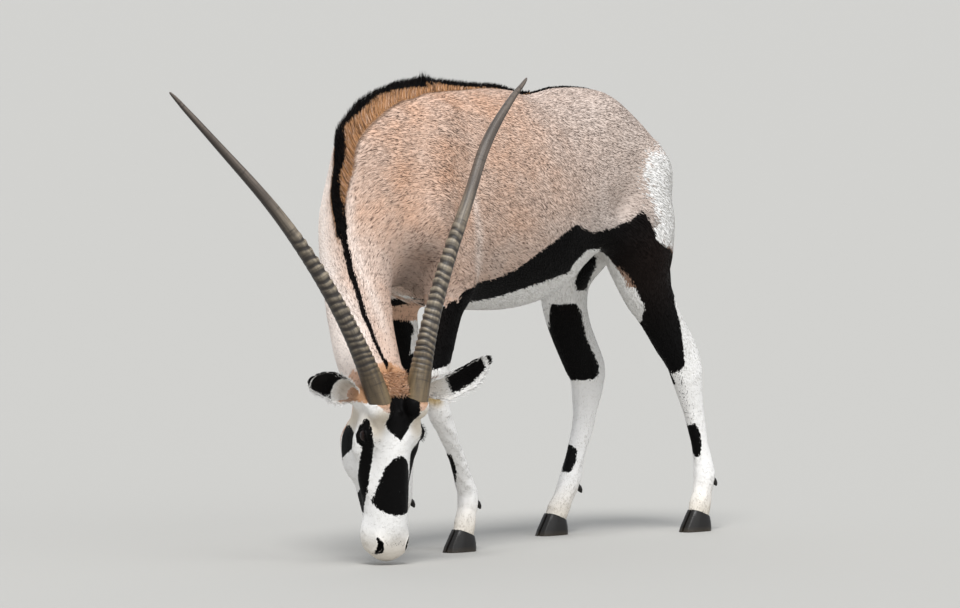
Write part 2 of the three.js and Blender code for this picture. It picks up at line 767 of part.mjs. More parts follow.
function mane() {
  const random = seeded(11);
  const rings = [];
  for (let i = 0; i <= 26; i++) {
    const { at, up, side } = crest(i / 26);
    const h = 0.45 * maneHeight(i / 26);
    rings.push(
      [[-0.5, -9], [-0.3, h], [0.3, h], [0.5, -9]].map(([s, r]) => add(add(at, side, s * MANE.thick), up, r)),
    );
  }
  const pieces = [loft(rings)];
  for (let i = 0; i < MANE.locks; i++) {
    const u = (i + 0.5 + 0.3 * (random() - 0.5)) / MANE.locks * 0.96 + 0.01;
    const { at, up, side, along } = crest(u);
    const lean = MANE.lean * (0.85 + 0.3 * random());
    const sway = (i % 2 ? 1 : -1) * (0.1 + 0.12 * random());
    const way = unit(add(add(up, along, lean), side, sway));
    const root = add(at, side, (i % 2 ? 1 : -1) * 2.2);
    const length = maneHeight(u) * (1.12 + 0.22 * random());
    pieces.push(
      lock(root, way, along, mul(along, 0.16), {
        length,
        width: MANE.wide * (0.75 + 0.25 * (length / MANE.height)) * (0.9 + 0.2 * random()),
        thick: MANE.thick * (0.62 + 0.12 * random()),
        sunk: MANE.sunk,
      }),
    );
  }
  return Manifold.union(pieces);
}

// horns, eyes, ears

function hornRings(s, grow) {
  const from = [HORN.base[0], HORN.base[1], s * HORN.base[2]];
  const to = [HORN.tip[0], HORN.tip[1], s * HORN.tip[2]];
  const chord = sub(to, from);
  const at = (t) => {
    const bow = 4 * t * (1 - t);
    const swayed = HORN.sway[s > 0 ? 0 : 1] * Math.exp(-(((t - 0.82) / 0.15) ** 2)) * (1 - smooth((t - 0.94) / 0.06));
    const line = add(add(add(from, chord, t), [0, 1, 0], HORN.bow.out * bow), [0, 0, -s], HORN.bow.inward * bow);
    return add(line, [0, 0, 1], -swayed);
  };
  const taper = [[-0.05, 1], [0.06, 0.97], [0.12, 0.86], [0.2, 0.76], [0.3, 0.69], [0.4, 0.64], [0.52, 0.58],
    [0.63, 0.5], [0.75, 0.41], [0.85, 0.325], [0.92, 0.27], [0.96, 0.22], [0.985, 0.16], [1, 0.06]];
  const radius = (t) => {
    const i = Math.max(1, taper.findIndex(([x]) => x >= t));
    const [[x0, r0], [x1, r1]] = [taper[i - 1], taper[i]];
    return HORN.root * (r0 + ((r1 - r0) * (t - x0)) / (x1 - x0));
  };
  const stops = [[-HORN.sunk / 930 - grow / 930, 0], [0.02, 0], [0.075, 0], [0.12, 0]];
  const pitch = (HORN.ringTo - HORN.ringFrom) / HORN.rings;
  for (let i = 0; i < HORN.rings; i++) {
    const t = HORN.ringFrom + i * pitch;
    const rise = HORN.ringRise * (0.55 + 0.45 * Math.sin((Math.PI * (i + 1)) / (HORN.rings + 1)));
    stops.push([t, -0.4 * rise], [t + pitch * 0.62, rise]);
  }
  stops.push([0.575, 0], [0.66, 0], [0.74, 0], [0.82, 0], [0.89, 0], [0.945, 0], [0.98, 0], [0.999, 0]);
  return stops.map(([t, rise]) => {
    const along = unit(sub(at(t + 0.01), at(t - 0.01)));
    const out = unit(sub([0, 1, 0], mul(along, along[1])));
    const side = cross(out, along);
    return Array.from({ length: HORN.sides }, (_, i) => {
      const turned = (2 * Math.PI * i) / HORN.sides;
      const r = radius(t) + rise * (1 + 0.25 * Math.cos(turned)) + grow;
      return headPoint(add(add(at(t), out, r * 1.06 * Math.cos(turned)), side, r * Math.sin(turned)));
    });
  });
}
const horn = (s, grow = 0) => loft(hornRings(s, grow));

// the almond between the lids, its long axis down the face, as a ring of points at a height over the eye
function almond(s, grow, height, n = 14) {
  return Array.from({ length: n }, (_, i) => {
    const turned = (2 * Math.PI * i) / n;
    const long = (EYE.halfLong + grow) * Math.sign(Math.cos(turned)) * Math.abs(Math.cos(turned)) ** 0.85;
    const tall = (EYE.halfTall + grow) * Math.sin(turned) * Math.abs(Math.sin(turned)) ** 0.15;
    const [a, b] = [long - 0.22 * tall, tall + 0.22 * long];
    return headPoint([EYE.a + a, EYE.b + b, s * (EYE.c + (height ?? Math.sqrt(EYE.radius ** 2 - a * a - b * b)))]);
  });
}
const eyeOpening = (s) => loft([almond(s, 0, 6), almond(s, 0, 22), almond(s, 5, 34)]);

// a tube round a closed line, for the rims of the lids
function rim(line, centre, radius, sides = 5) {
  const n = line.length;
  const points = [];
  const faces = [];
  for (let i = 0; i < n; i++) {
    const along = unit(sub(line[(i + 1) % n], line[(i + n - 1) % n]));
    const out = unit(sub(line[i], centre));
    const side = cross(along, out);
    for (let k = 0; k < sides; k++) {
      const turned = (2 * Math.PI * k) / sides;
      points.push(add(add(line[i], out, radius * Math.cos(turned)), side, radius * Math.sin(turned)));
      const [a, b] = [i * sides + k, i * sides + ((k + 1) % sides)];
      const [c, d] = [((i + 1) % n) * sides + k, ((i + 1) % n) * sides + ((k + 1) % sides)];
      faces.push([a, b, d], [a, d, c]);
    }
  }
  const made = solid({ points, faces });
  return made.volume() < 0 ? solid({ points, faces: faces.map(([a, b, c]) => [a, c, b]) }) : made;
}
const lids = (s) => rim(almond(s, 2.2, null), headPoint([EYE.a, EYE.b, s * EYE.c]), EYE.rim);

// the skin straight out from a point inside the head, in the head's axes
const faceSkin = (inner, way) => surfaceFrom(headPoint(inner), unit(headDirection(way)));

// a comma-shaped nostril, running in from the side of the nose
function nostril(s) {
  const rings = [
    [[352, -16, 42], 20, 6], [[353, -25, 34], 18, 5.5], [[352, -34, 27], 12, 4], [[350, -44, 22], 5, 2],
  ];
  return loft(
    rings.map(([[a, b, c], long, tall]) =>
      Array.from({ length: 8 }, (_, i) => {
        const turned = (Math.PI * i) / 4;
        const [x, y] = [long * Math.cos(turned), tall * Math.sin(turned) + 0.3 * long * Math.cos(turned) ** 2];
        return headPoint([a + x * 0.62 - y * 0.5, b - x * 0.62 - y * 0.3, s * (c + y * 0.6)]);
      }),
    ),
  );
}

// the line between the lips, from one corner round the front to the other
function mouthLine() {
  const rings = [];
  for (let i = -8; i <= 8; i++) {
    const t = Math.abs(i) / 8;
    const s = Math.sign(i) || 1;
    const a = 352 - 78 * smooth((t - 0.3) / 0.7) * t;
    const inner = [Math.min(a, 338), -84 - 8 * t * t, 0];
    const angle = (Math.PI / 2) * Math.min(1, t / 0.5);
    const way = [Math.cos(angle), -0.05, s * Math.sin(angle)];
    const skinAt = faceSkin(inner, way);
    const out = unit(headDirection(way));
    const up = headDirection([0, 1, 0]);
    const half = 1.9 * (1 - 0.5 * t);
    rings.push([
      add(add(skinAt, out, 5), up, half * 1.6), add(add(skinAt, out, 5), up, -half * 1.6),
      add(add(skinAt, out, -5), up, -half * 0.4), add(add(skinAt, out, -5), up, half * 0.4),
    ]);
  }
  return loft(rings);
}

// rounded curls between and behind the horns
function curls() {
  const random = seeded(5);
  const pieces = [];
  for (let i = 0; i < CURLS.count; i++) {
    const row = Math.floor(i / 4);
    const a = 8 - row * 20 + 6 * (random() - 0.5);
    const c = ((i % 4) - 1.5 + 0.5 * (row % 2) - 0.25) * 15 + 4 * (random() - 0.5);
    const at = faceSkin([a, -66, c], [0, 1, 0]);
    const r = CURLS.radius * (0.85 + 0.3 * random());
    const place = new THREE.Matrix4()
      .makeTranslation(...at)
      .multiply(turn)
      .multiply(new THREE.Matrix4().makeRotationFromEuler(new THREE.Euler(random() * 3, random() * 3, 0)))
      .multiply(new THREE.Matrix4().makeScale(r * 1.25, r, r * 0.9));
    pieces.push(fromGeometry(new THREE.SphereGeometry(1, 6, 4).applyMatrix4(place)));
  }
  return Manifold.union(pieces);
}

function eye(s, grow = 0) {
  const g = new THREE.SphereGeometry(EYE.radius + grow, 12, 8);
  return fromGeometry(g.translate(...headPoint([EYE.a, EYE.b, s * EYE.c])));
}

function earFrame(side) {
  const axis = unit(headDirection(EARS[side].axis));
  const open = headDirection(EARS[side].open);
  const front = unit(sub(open, mul(axis, dot(open, axis))));
  const root = headPoint([EAR.root[0], EAR.root[1], EAR.root[2] * Math.sign(EARS[side].axis[2])]);
  return { axis, front, across: cross(axis, front), root };
}

// a leaf rolled into a cup: two sheets, a wall apart, joined round the rim
function ear(side) {
  const { axis, front, across, root } = earFrame(side);
  const base = add(root, axis, EAR.cut - 6);
  const [rows, columns] = [9, 6];
  const spot = (u, v, wall) => {
    const wide = (EAR.width / 2) * (0.5 + 0.5 * smooth(u / 0.42)) * Math.max(0.02, 1 - ((u - 0.5) / 0.52) ** 2 * (u > 0.5)) ** 0.62;
    const half = mix([2.5], [0.95], smooth(u / 0.55))[0];
    const radius = wide / (half > Math.PI / 2 ? 1 : Math.sin(half)) + wall;
    const turned = v * half;
    const rim = 1 - 0.9 * Math.abs(v) ** 6;
    const r = radius - (wall > 0 ? wall * (1 - rim) : 0);
    const bend = -10 * Math.sin(Math.PI * u * 0.9);
    const out = wide * (0.1 + 0.75 * smooth(u / 0.45)) - r * Math.cos(turned);
    const sway = EAR.bow[side] * Math.sin(Math.PI * u);
    return add(add(add(base, axis, u * EAR.length), across, r * Math.sin(turned) + sway), front, out + bend);
  };
  const points = [];
  const faces = [];
  const grid = [0, EAR.wall].map((wall) =>
    Array.from({ length: rows + 1 }, (_, i) =>
      Array.from({ length: columns + 1 }, (_, j) => points.push(spot(i / rows, (2 * j) / columns - 1, wall)) - 1),
    ),
  );
  const quad = (a, b, c, d) => faces.push([a, b, c], [a, c, d]);
  for (let i = 0; i < rows; i++) {
    for (let j = 0; j < columns; j++) {
      quad(grid[0][i][j], grid[0][i][j + 1], grid[0][i + 1][j + 1], grid[0][i + 1][j]);
      quad(grid[1][i][j + 1], grid[1][i][j], grid[1][i + 1][j], grid[1][i + 1][j + 1]);
    }
    quad(grid[0][i + 1][0], grid[1][i + 1][0], grid[1][i][0], grid[0][i][0]);
    quad(grid[0][i][columns], grid[1][i][columns], grid[1][i + 1][columns], grid[0][i + 1][columns]);
  }
  for (let j = 0; j < columns; j++) {
    quad(grid[0][0][j + 1], grid[0][0][j], grid[1][0][j], grid[1][0][j + 1]);
    quad(grid[0][rows][j], grid[0][rows][j + 1], grid[1][rows][j + 1], grid[1][rows][j]);
  }
  let shell = solid({ points, faces });
  if (shell.volume() < 0) shell = solid({ points, faces: faces.map(([a, b, c]) => [a, c, b]) });
  // the closed root of the cup
  const rings = [-14, -5, 1].map((h, i) =>
    Array.from({ length: 10 }, (_, k) => {
      const turned = (2 * Math.PI * k) / 10;
      const r = [24, 23, 17][i];
      return add(add(add(base, axis, h), across, r * Math.cos(turned)), front, r * Math.sin(turned) - i * 2);
    }),
  );
  return shell.add(loft(rings));
}

// everything past the plane where an ear leaves the head
function earSide(side, shift) {
  const { axis, front, across, root } = earFrame(side);
  const from = add(root, axis, EAR.cut + shift);
  const place = new THREE.Matrix4().makeBasis(...[axis, front, across].map((v) => new THREE.Vector3(...v)));
  place.setPosition(...add(from, axis, 150));
  return fromGeometry(new THREE.BoxGeometry(300, 130, 130).applyMatrix4(place));
}

// tail

const TAIL_STOPS = [
  [-4, 612, 968, 15, 16], [-4, 626, 925, 14, 15], [-3, 632, 860, 12, 13], [0, 628, 780, 11, 12],
  [2, 620, 700, 12, 13], [0, 620, 640, 14, 15], [0, 636, 565, 17, 18], [6, 658, 490, 16, 17],
  [14, 680, 420, 11, 12], [20, 694, 370, 6, 7], [22, 698, 345, 2, 2],
];
function tailCore(grow = 0) {
  const rings = TAIL_STOPS.map(([x, y, z, w, deep], i) => {
    const [p, q] = [TAIL_STOPS[Math.max(0, i - 1)], TAIL_STOPS[Math.min(TAIL_STOPS.length - 1, i + 1)]];
    const along = i === 0 ? unit(TAIL_CUT.along) : unit(sub(q.slice(0, 3), p.slice(0, 3)));
    const back = unit(sub([0, 1, 0], mul(along, along[1])));
    const side = cross(along, back);
    return Array.from({ length: 10 }, (_, k) => {
      const turned = (2 * Math.PI * k) / 10;
      return add(add([x, y, z], side, (w + grow) * Math.cos(turned)), back, (deep + grow) * Math.sin(turned));
    });
  });
  return loft(rings);
}

function tail() {
  const random = seeded(23);
  const pieces = [tailCore()];
  const line = new THREE.CatmullRomCurve3(TAIL_STOPS.map((s) => new THREE.Vector3(...s.slice(0, 3))));
  for (let i = 0; i < TASSEL.locks; i++) {
    const t = 0.44 + 0.34 * (i / TASSEL.locks);
    const at = line.getPoint(t).toArray();
    const along = line.getTangent(t).toArray();
    const turned = i * 2.4 + 0.4 * random();
    const round = unit(cross(along, [Math.sin(turned), Math.cos(turned), 0]));
    const outward = unit(cross(round, along));
    const reach = 7 + 13 * smooth((t - 0.44) / 0.2);
    const way = unit(add(along, outward, 0.14 + 0.06 * random()));
    pieces.push(
      lock(add(at, outward, reach * 0.7), way, round, mul(outward, -0.14), {
        length: TASSEL.length * (0.75 + 0.35 * random()) * (1.25 - 0.55 * ((t - 0.44) / 0.34)),
        width: TASSEL.wide * (0.85 + 0.3 * random()),
        thick: TASSEL.thick * (0.9 + 0.3 * random()),
        sunk: 8,
      }),
    );
  }
  return largest(Manifold.union(pieces));
}

// hooves

// one claw of a cloven hoof, standing flat on the ground under a slanting hairline
function claw(foot, s, length) {
  const { x, y } = foot;
  const hairline = (back) => {
    const t = (back - CORONET.front) / (CORONET.back - CORONET.front);
    return CORONET.rise + (CORONET.fall - CORONET.rise) * t - GAP;
  };
  const outline = (wide, front, back, drop) => {
    const loop = [];
    for (let i = 0; i <= 8; i++) {
      const turned = (Math.PI * i) / 8;
      const v = Math.cos(turned);
      const u = Math.sin(turned) ** 0.75;
      loop.push([1.4 + wide * (u * 0.92 + (v > 0 ? 0.06 * v : 0.1)), v > 0 ? -front * v : -back * v]);
    }
    loop.push([1.4, back * 0.45], [1.4, -front * 0.55]);
    return loop.map(([u, v]) => [x + s * u, y + v, Math.max(0, drop(v))]);
  };
  const rings = [
    outline(23, 29, 31, hairline),
    outline(26, 42, 33, (v) => hairline(v) * 0.62),
    outline(28, length * 0.9, 33, (v) => hairline(v) * 0.2),
    outline(28, length, 31, () => 0),
  ];
  return loft(rings);
}

function dewclaw(at, s, grow = 0) {
  const down = unit([s * 0.15, 0.5, -0.85]);
  const back = unit(sub([0, 1, 0], mul(down, down[1])));
  const side = cross(down, back);
  const from = add(at, down, -DEWCLAW.length * 0.4);
  const rings = [[0, 0.75], [0.3, 1], [0.7, 0.8], [1, 0.25]].map(([t, r], i) =>
    Array.from({ length: 7 }, (_, k) => {
      const turned = (2 * Math.PI * k) / 7;
      const reach = r * DEWCLAW.radius + grow;
      const far = t * DEWCLAW.length + (i === 0 ? -grow : i === 3 ? grow : 0);
      return add(add(add(from, down, far), side, reach * Math.cos(turned)), back, reach * 0.8 * Math.sin(turned));
    }),
  );
  return loft(rings);
}

// the nodes

const nodes = {};
const ridge = mane();
let body = largest(solid(compact(bodySkin)).add(ridge));
let head = largest(solid(compact(headSkin)).add(ridge).add(curls()).trimByPlane(
  mul(unit(NAPE.normal), -1),
  -dot(NAPE.at, unit(NAPE.normal)) + GAP / 2,
));
const trunkSide = body.trimByPlane(
  mul(unit(NECK_BASE.normal), -1),
  -dot(NECK_BASE.at, unit(NECK_BASE.normal)) + GAP / 2,
);
nodes.neck = largest(beyond(beyond(body, NECK_BASE.at, NECK_BASE.normal), NAPE.at, NAPE.normal));

// legs, with the claws under their hairlines and the small hooves behind each fetlock
const FEET = {
  foreleg_left: { x: 112, y: -283, fetlock: [99, -252, 128], length: 66 },
  foreleg_right: { x: -84, y: -334, fetlock: [-88, -294, 126], length: 66 },
  hindleg_left: { x: 137, y: 598, fetlock: [125, 634, 138], length: 66 },
  hindleg_right: { x: -77, y: 280, fetlock: [-91, 350, 127], length: 66 },
};
let torso = trunkSide;
// a block whose top slopes up along y, from its height at the back
function wedge(lo, hi, rise, drop) {
  const box = new THREE.BoxGeometry(1, 1, 1);
  const p = box.attributes.position;
  for (let i = 0; i < p.count; i++) {
    const y = p.getY(i) < 0 ? lo[1] : hi[1];
    p.setXYZ(i, p.getX(i) < 0 ? lo[0] : hi[0], y, p.getZ(i) < 0 ? lo[2] : hi[2] + rise * (y - hi[1]) - drop);
  }
  return fromGeometry(box);
}
for (const [name, { lo, hi, rise }] of Object.entries(LEG_BOXES)) {
  const foot = FEET[name];
  const slope = (CORONET.fall - CORONET.rise) / (CORONET.back - CORONET.front);
  const hair = { at: [foot.x, foot.y + CORONET.front, CORONET.rise], normal: [0, -slope, 1] };
  let flesh = beyond(trunkSide.intersect(wedge(lo, hi, rise, GAP)), hair.at, hair.normal);
  torso = torso.subtract(wedge(lo, hi, rise, 0));
  for (const [s, word] of [[1, "left"], [-1, "right"]]) {
    const at = add(foot.fetlock, [s * 13, 26, -12]);
    nodes[`${name}_dewclaw_${word}`] = dewclaw(at, s);
    flesh = flesh.subtract(dewclaw(at, s, GAP));
    nodes[`${name}_hoof_${word}`] = claw(foot, s, foot.length);
  }
  nodes[name] = largest(flesh);
}
const tailBox = new THREE.Matrix4();
{
  const along = unit(TAIL_CUT.along);
  const across = [1, 0, 0];
  const other = unit(cross(along, across));
  const flat = cross(other, along);
  tailBox.makeBasis(...[along, flat, other].map((v) => new THREE.Vector3(...v)));
  tailBox.setPosition(...add(TAIL_CUT.at, along, 50 - GAP));
}
torso = torso.subtract(fromGeometry(new THREE.BoxGeometry(100, 54, 50).applyMatrix4(tailBox))).subtract(tailCore(1));
nodes.torso = largest(torso);
nodes.tail = tail();

for (const [s, word] of [[1, "left"], [-1, "right"]]) {
  head = head.subtract(eyeOpening(s)).add(lids(s)).subtract(eye(s, GAP)).subtract(nostril(s));
  head = head.subtract(horn(s, GAP)).subtract(earSide(word, 0));
  nodes[`horn_${word}`] = horn(s);
  nodes[`eye_${word}`] = eye(s);
  nodes[`ear_${word}`] = largest(ear(word).intersect(earSide(word, GAP)).subtract(horn(s, GAP)));
}
nodes.head = largest(head.subtract(mouthLine()));

// the group

const FINISHES = {
  horn: { color: 0x5d5348, roughness: 0.6 },
  hoof: { color: 0x1d1a18, roughness: 0.55 },
  eye: { color: 0x120c08, roughness: 0.1 },
  coat: { color: 0xb89f8b, roughness: 0.9 },
};
const finishOf = (name) =>
  name.startsWith("horn") ? "horn" : name.startsWith("eye") ? "eye" : /hoof|dewclaw/.test(name) ? "hoof" : "coat";

const group = new THREE.Group();
group.name = "gemsbok";
const placed = [];
for (const [name, made] of Object.entries(nodes)) {
  const m = made.getMesh();
  const geometry = new THREE.BufferGeometry();
  const positions = new Float32Array(m.numVert * 3);
  for (let i = 0; i < m.numVert; i++) {
    for (let k = 0; k < 3; k++) positions[i * 3 + k] = m.vertProperties[i * m.numProp + k];
  }
  geometry.setAttribute("position", new THREE.BufferAttribute(positions, 3));
  geometry.setIndex(new THREE.BufferAttribute(new Uint32Array(m.triVerts), 1));
  placed.push([name, geometry]);
}
// the middle of the floor under the whole animal becomes the origin
const all = new THREE.Box3();
for (const [, geometry] of placed) {
  geometry.computeBoundingBox();
  all.union(geometry.boundingBox);
}
const shift = [-(all.min.x + all.max.x) / 2, -(all.min.y + all.max.y) / 2, -all.min.z];
const materials = Object.fromEntries(
  Object.entries(FINISHES).map(([k, v]) => [k, new THREE.MeshStandardMaterial({ name: k, ...v })]),
);
for (const [name, geometry] of placed) {
  geometry.translate(...shift);
  geometry.computeVertexNormals();
  const mesh = new THREE.Mesh(geometry, materials[finishOf(name)]);
  mesh.name = name;
  group.add(mesh);
}

export default group;
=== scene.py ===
"""Gemsbok, a still life-size model in a grazing pose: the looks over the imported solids.

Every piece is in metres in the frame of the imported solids. Inside the classes, places and sizes
are in the animal's own millimetres unless metres are named: x to its left, y to its tail, z up,
with the head's own axes a down the face, b out of the face and c to its left. Arrays hold one
place, face or value to a row.
"""

import logging
import math
from dataclasses import dataclass
from enum import Enum
from functools import partial

import bpy
import numpy as np
from mathutils import Matrix, Vector
from mathutils.bvhtree import BVHTree


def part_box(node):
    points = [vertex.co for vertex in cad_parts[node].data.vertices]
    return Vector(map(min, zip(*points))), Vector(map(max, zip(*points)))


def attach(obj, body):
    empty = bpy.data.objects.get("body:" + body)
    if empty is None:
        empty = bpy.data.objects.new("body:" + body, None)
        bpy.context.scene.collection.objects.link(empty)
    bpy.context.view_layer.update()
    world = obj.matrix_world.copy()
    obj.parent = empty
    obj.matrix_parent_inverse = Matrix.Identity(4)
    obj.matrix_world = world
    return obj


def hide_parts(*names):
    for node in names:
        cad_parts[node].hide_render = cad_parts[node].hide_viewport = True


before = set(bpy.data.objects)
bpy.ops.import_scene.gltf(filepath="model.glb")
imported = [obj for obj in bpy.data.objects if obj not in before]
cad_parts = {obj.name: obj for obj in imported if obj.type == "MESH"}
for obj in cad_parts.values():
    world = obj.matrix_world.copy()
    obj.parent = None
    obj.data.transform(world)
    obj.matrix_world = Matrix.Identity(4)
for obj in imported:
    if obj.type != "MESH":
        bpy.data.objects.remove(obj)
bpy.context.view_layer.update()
LOG = logging.getLogger("gemsbok")

FLESH = (
    "torso", "neck", "head", "ear_left", "ear_right", "foreleg_left", "foreleg_right", "hindleg_left",
    "hindleg_right",
)
LEGS = FLESH[5:]
BODY = "root"
# the reach of a place where a marking cannot be
OUTSIDE = -200

Array = np.ndarray
Piece = bpy.types.Object
Finish = bpy.types.Material


class Tone(Enum):
    """Colours of the animal and the studio, as sRGB hex."""

    FAWN = "#d0b4a2"
    FAWN_WARM = "#d3ad94"
    HIP = "#cdc0b7"
    FLECK = "#4f3e36"
    PALE_NECK = "#efe3da"
    RUST = "#b07f52"
    # real brown tone, also used to paint the shade in front of the elbows
    BROWN = "#40332c"
    BROWN_BLACK = "#1c1411"
    BLACK = "#070606"
    WHITE = "#eceae7"
    WHITE_SHADE = "#d8d5cf"
    STAIN = "#b39b6f"
    HORN_BASE = "#78664a"
    HORN_DARK = "#241e1a"
    HORN_LIGHT = "#998c78"
    HORN_UPPER = "#6b6056"
    HOOF = "#15120f"
    HOOF_EDGE = "#4d4438"
    IRIS = "#2a150b"
    PUPIL = "#040304"
    FLOOR = "#a9a7a2"


def linear(tone: Tone) -> tuple[float, float, float, float]:
    """Turns a colour into Blender's linear numbers.

    Args:
        tone: the colour, held as sRGB hex.

    Returns:
        Red, green, blue and alpha, linear.
    """
    parts = [int(tone.value[i : i + 2], 16) / 255 for i in (1, 3, 5)]
    turned = [p / 12.92 if p <= 0.04045 else ((p + 0.055) / 1.055) ** 2.4 for p in parts]
    return (turned[0], turned[1], turned[2], 1.0)


def add_node(
    tree: bpy.types.NodeTree, kind: str, settings: dict | None = None, links: dict | None = None,
    out: int | str = 0,
) -> bpy.types.NodeSocket | None:
    """Adds one shader node.

    Args:
        tree: the node tree it goes into.
        kind: the node's type, without its prefix.
        settings: lower-case names are the node's own properties, other keys are its sockets.
        links: socket to the output that feeds it.
        out: the output that is wanted.

    Returns:
        That output, or None where the node has none.
    """
    node = tree.nodes.new("ShaderNode" + kind)
    for key, value in (settings or {}).items():
        if isinstance(key, str) and key[0].islower():
            setattr(node, key, value)
        else:
            node.inputs[key].default_value = value
    for key, source in (links or {}).items():
        tree.links.new(source, node.inputs[key])
    return node.outputs[out] if len(node.outputs) else None


def smooth(value: Array | float, low: float = 0.0, high: float = 1.0) -> Array:
    """Eases a value from 0 at low to 1 at high.

    Args:
        value: what is eased.
        low: where the result leaves 0.
        high: where the result reaches 1.

    Returns:
        The eased value.
    """
    t = np.clip((np.asarray(value, float) - low) / (high - low), 0, 1)
    return t * t * (3 - 2 * t)


def unit(vectors: Array) -> Array:
    """Makes vectors one long.

    Args:
        vectors: the last axis holds each one.

    Returns:
        The same directions, each of length 1.
    """
    length = np.linalg.norm(vectors, axis=-1, keepdims=True)
    return vectors / np.maximum(length, 1e-12)


def across_way(vectors: Array, way: Array) -> Array:
    """Takes out of vectors what runs along a way, and makes them one long."""
    return unit(vectors - way * np.sum(vectors * way, axis=1, keepdims=True))


def nearest_stop(points: Array, stops: Array, part: int = 20000) -> Array:
    """Finds the stop of a line that lies nearest to each point.

    Args:
        points: places.
        stops: the line's stops.
        part: how many points are measured at a time.

    Returns:
        The number of each one's stop.
    """
    near = np.empty(len(points), int)
    for start in range(0, len(points), part):
        gap = ((points[start : start + part, None, :] - stops[None, :, :]) ** 2).sum(axis=2)
        near[start : start + part] = gap.argmin(axis=1)
    return near


def outline_reach(points: Array, corners: list | tuple) -> Array:
    """Measures how far points lie inside a closed outline.

    Args:
        points: places on the plane.
        corners: the outline's corners in order.

    Returns:
        Distance to the outline, positive inside it.
    """
    ring = np.asarray(corners, float)
    best = np.full(len(points), 1e9)
    inside = np.zeros(len(points), bool)
    for p, q in zip(ring, np.roll(ring, -1, axis=0)):
        edge = q - p
        t = np.clip(((points - p) @ edge) / max(float(edge @ edge), 1e-9), 0, 1)
        away = points - p - t[:, None] * edge
        best = np.minimum(best, np.hypot(away[:, 0], away[:, 1]))
        level = edge[1] if abs(edge[1]) > 1e-9 else 1e-9
        crossing = p[0] + (points[:, 1] - p[1]) * edge[0] / level
        inside ^= ((p[1] > points[:, 1]) != (q[1] > points[:, 1])) & (points[:, 0] < crossing)
    return np.where(inside, best, -best)


def line_reach(points: Array, stops: list | tuple, half: list | float) -> Array:
    """Measures how far points lie inside a stripe along a line.

    Args:
        points: places.
        stops: the line's points in order.
        half: half the stripe's width, one value or one per stop.

    Returns:
        Distance to the stripe's edge, positive inside it.
    """
    line = np.asarray(stops, float)
    widths = np.broadcast_to(np.asarray(half, float), (len(line),))
    best = np.full(len(points), -1e9)
    for i in range(len(line) - 1):
        edge = line[i + 1] - line[i]
        t = np.clip(((points - line[i]) @ edge) / max(float(edge @ edge), 1e-9), 0, 1)
        away = np.linalg.norm(points - line[i] - t[:, None] * edge, axis=1)
        best = np.maximum(best, widths[i] + (widths[i + 1] - widths[i]) * t - away)
    return best


def on_part(region: Array, *names: str) -> Array:
    """Tells which places lie on the named parts, from their part numbers."""
    return np.isin(region, [FLESH.index(name) for name in names])


def only(piece: Piece) -> Piece:
    """Makes a piece the one selected and active object.

    Args:
        piece: the object to work on.

    Returns:
        The same object.
    """
    bpy.ops.object.select_all(action="DESELECT")
    piece.select_set(True)
    bpy.context.view_layer.objects.active = piece
    return piece


def apply_modifier(piece: Piece, kind: str, **settings: object) -> None:
    """Adds a modifier to a piece and applies it.

    Args:
        piece: the object to work on.
        kind: the modifier's type.
        settings: the modifier's properties.
    """
    modifier = piece.modifiers.new(kind.title(), kind)
    for key, value in settings.items():
        setattr(modifier, key, value)
    only(piece)
    bpy.ops.object.modifier_apply(modifier=modifier.name)


def points_of(piece: Piece) -> Array:
    """Reads a piece's vertices.

    Args:
        piece: a mesh object.

    Returns:
        Their places in metres.
    """
    flat = np.empty(len(piece.data.vertices) * 3, np.float32)
    piece.data.vertices.foreach_get("co", flat)
    return flat.reshape(-1, 3).astype(float)


def set_points(piece: Piece, places: Array) -> None:
    """Moves a piece's vertices to the given places in metres."""
    piece.data.vertices.foreach_set("co", places.astype(np.float32).ravel())
    piece.data.update()


def normals_of(piece: Piece) -> Array:
    """Reads a piece's vertex normals.

    Args:
        piece: a mesh object.

    Returns:
        The unit normals.
    """
    flat = np.empty(len(piece.data.vertices) * 3, np.float32)
    piece.data.vertex_normals.foreach_get("vector", flat)
    return flat.reshape(-1, 3).astype(float)


def triangles_of(piece: Piece) -> Array:
    """Reads a piece's triangles.

    Args:
        piece: a mesh object.

    Returns:
        Three vertex numbers each.
    """
    piece.data.calc_loop_triangles()
    flat = np.empty(len(piece.data.loop_triangles) * 3, np.int32)
    piece.data.loop_triangles.foreach_get("vertices", flat)
    return flat.reshape(-1, 3)


def mesh_object(name: str, points: Array, faces: Array) -> Piece:
    """Makes a mesh object of triangles.

    Args:
        name: the object's name.
        points: places in metres.
        faces: three vertex numbers each.

    Returns:
        The new object, linked to the scene.
    """
    mesh = bpy.data.meshes.new(name)
    mesh.vertices.add(len(points))
    mesh.vertices.foreach_set("co", np.asarray(points, np.float32).ravel())
    mesh.loops.add(len(faces) * 3)
    mesh.loops.foreach_set("vertex_index", np.asarray(faces, np.int32).ravel())
    mesh.polygons.add(len(faces))
    mesh.polygons.foreach_set("loop_start", np.arange(0, len(faces) * 3, 3, dtype=np.int32))
    mesh.update(calc_edges=True)
    mesh.validate()
    piece = bpy.data.objects.new(name, mesh)
    bpy.context.scene.collection.objects.link(piece)
    return piece


def put_attribute(piece: Piece, name: str, values: Array) -> None:
    """Stores one number per vertex on a piece."""
    layer = piece.data.attributes.new(name, "FLOAT", "POINT")
    layer.data.foreach_set("value", np.asarray(values, np.float32).ravel())


def blank_material(name: str) -> tuple[Finish, partial]:
    """Makes a material whose node tree is empty.

    Args:
        name: the material's name.

    Returns:
        The material, and what adds a node to it.
    """
    material = bpy.data.materials.new(name)
    material.use_nodes = True
    material.node_tree.nodes.clear()
    return material, partial(add_node, material.node_tree)


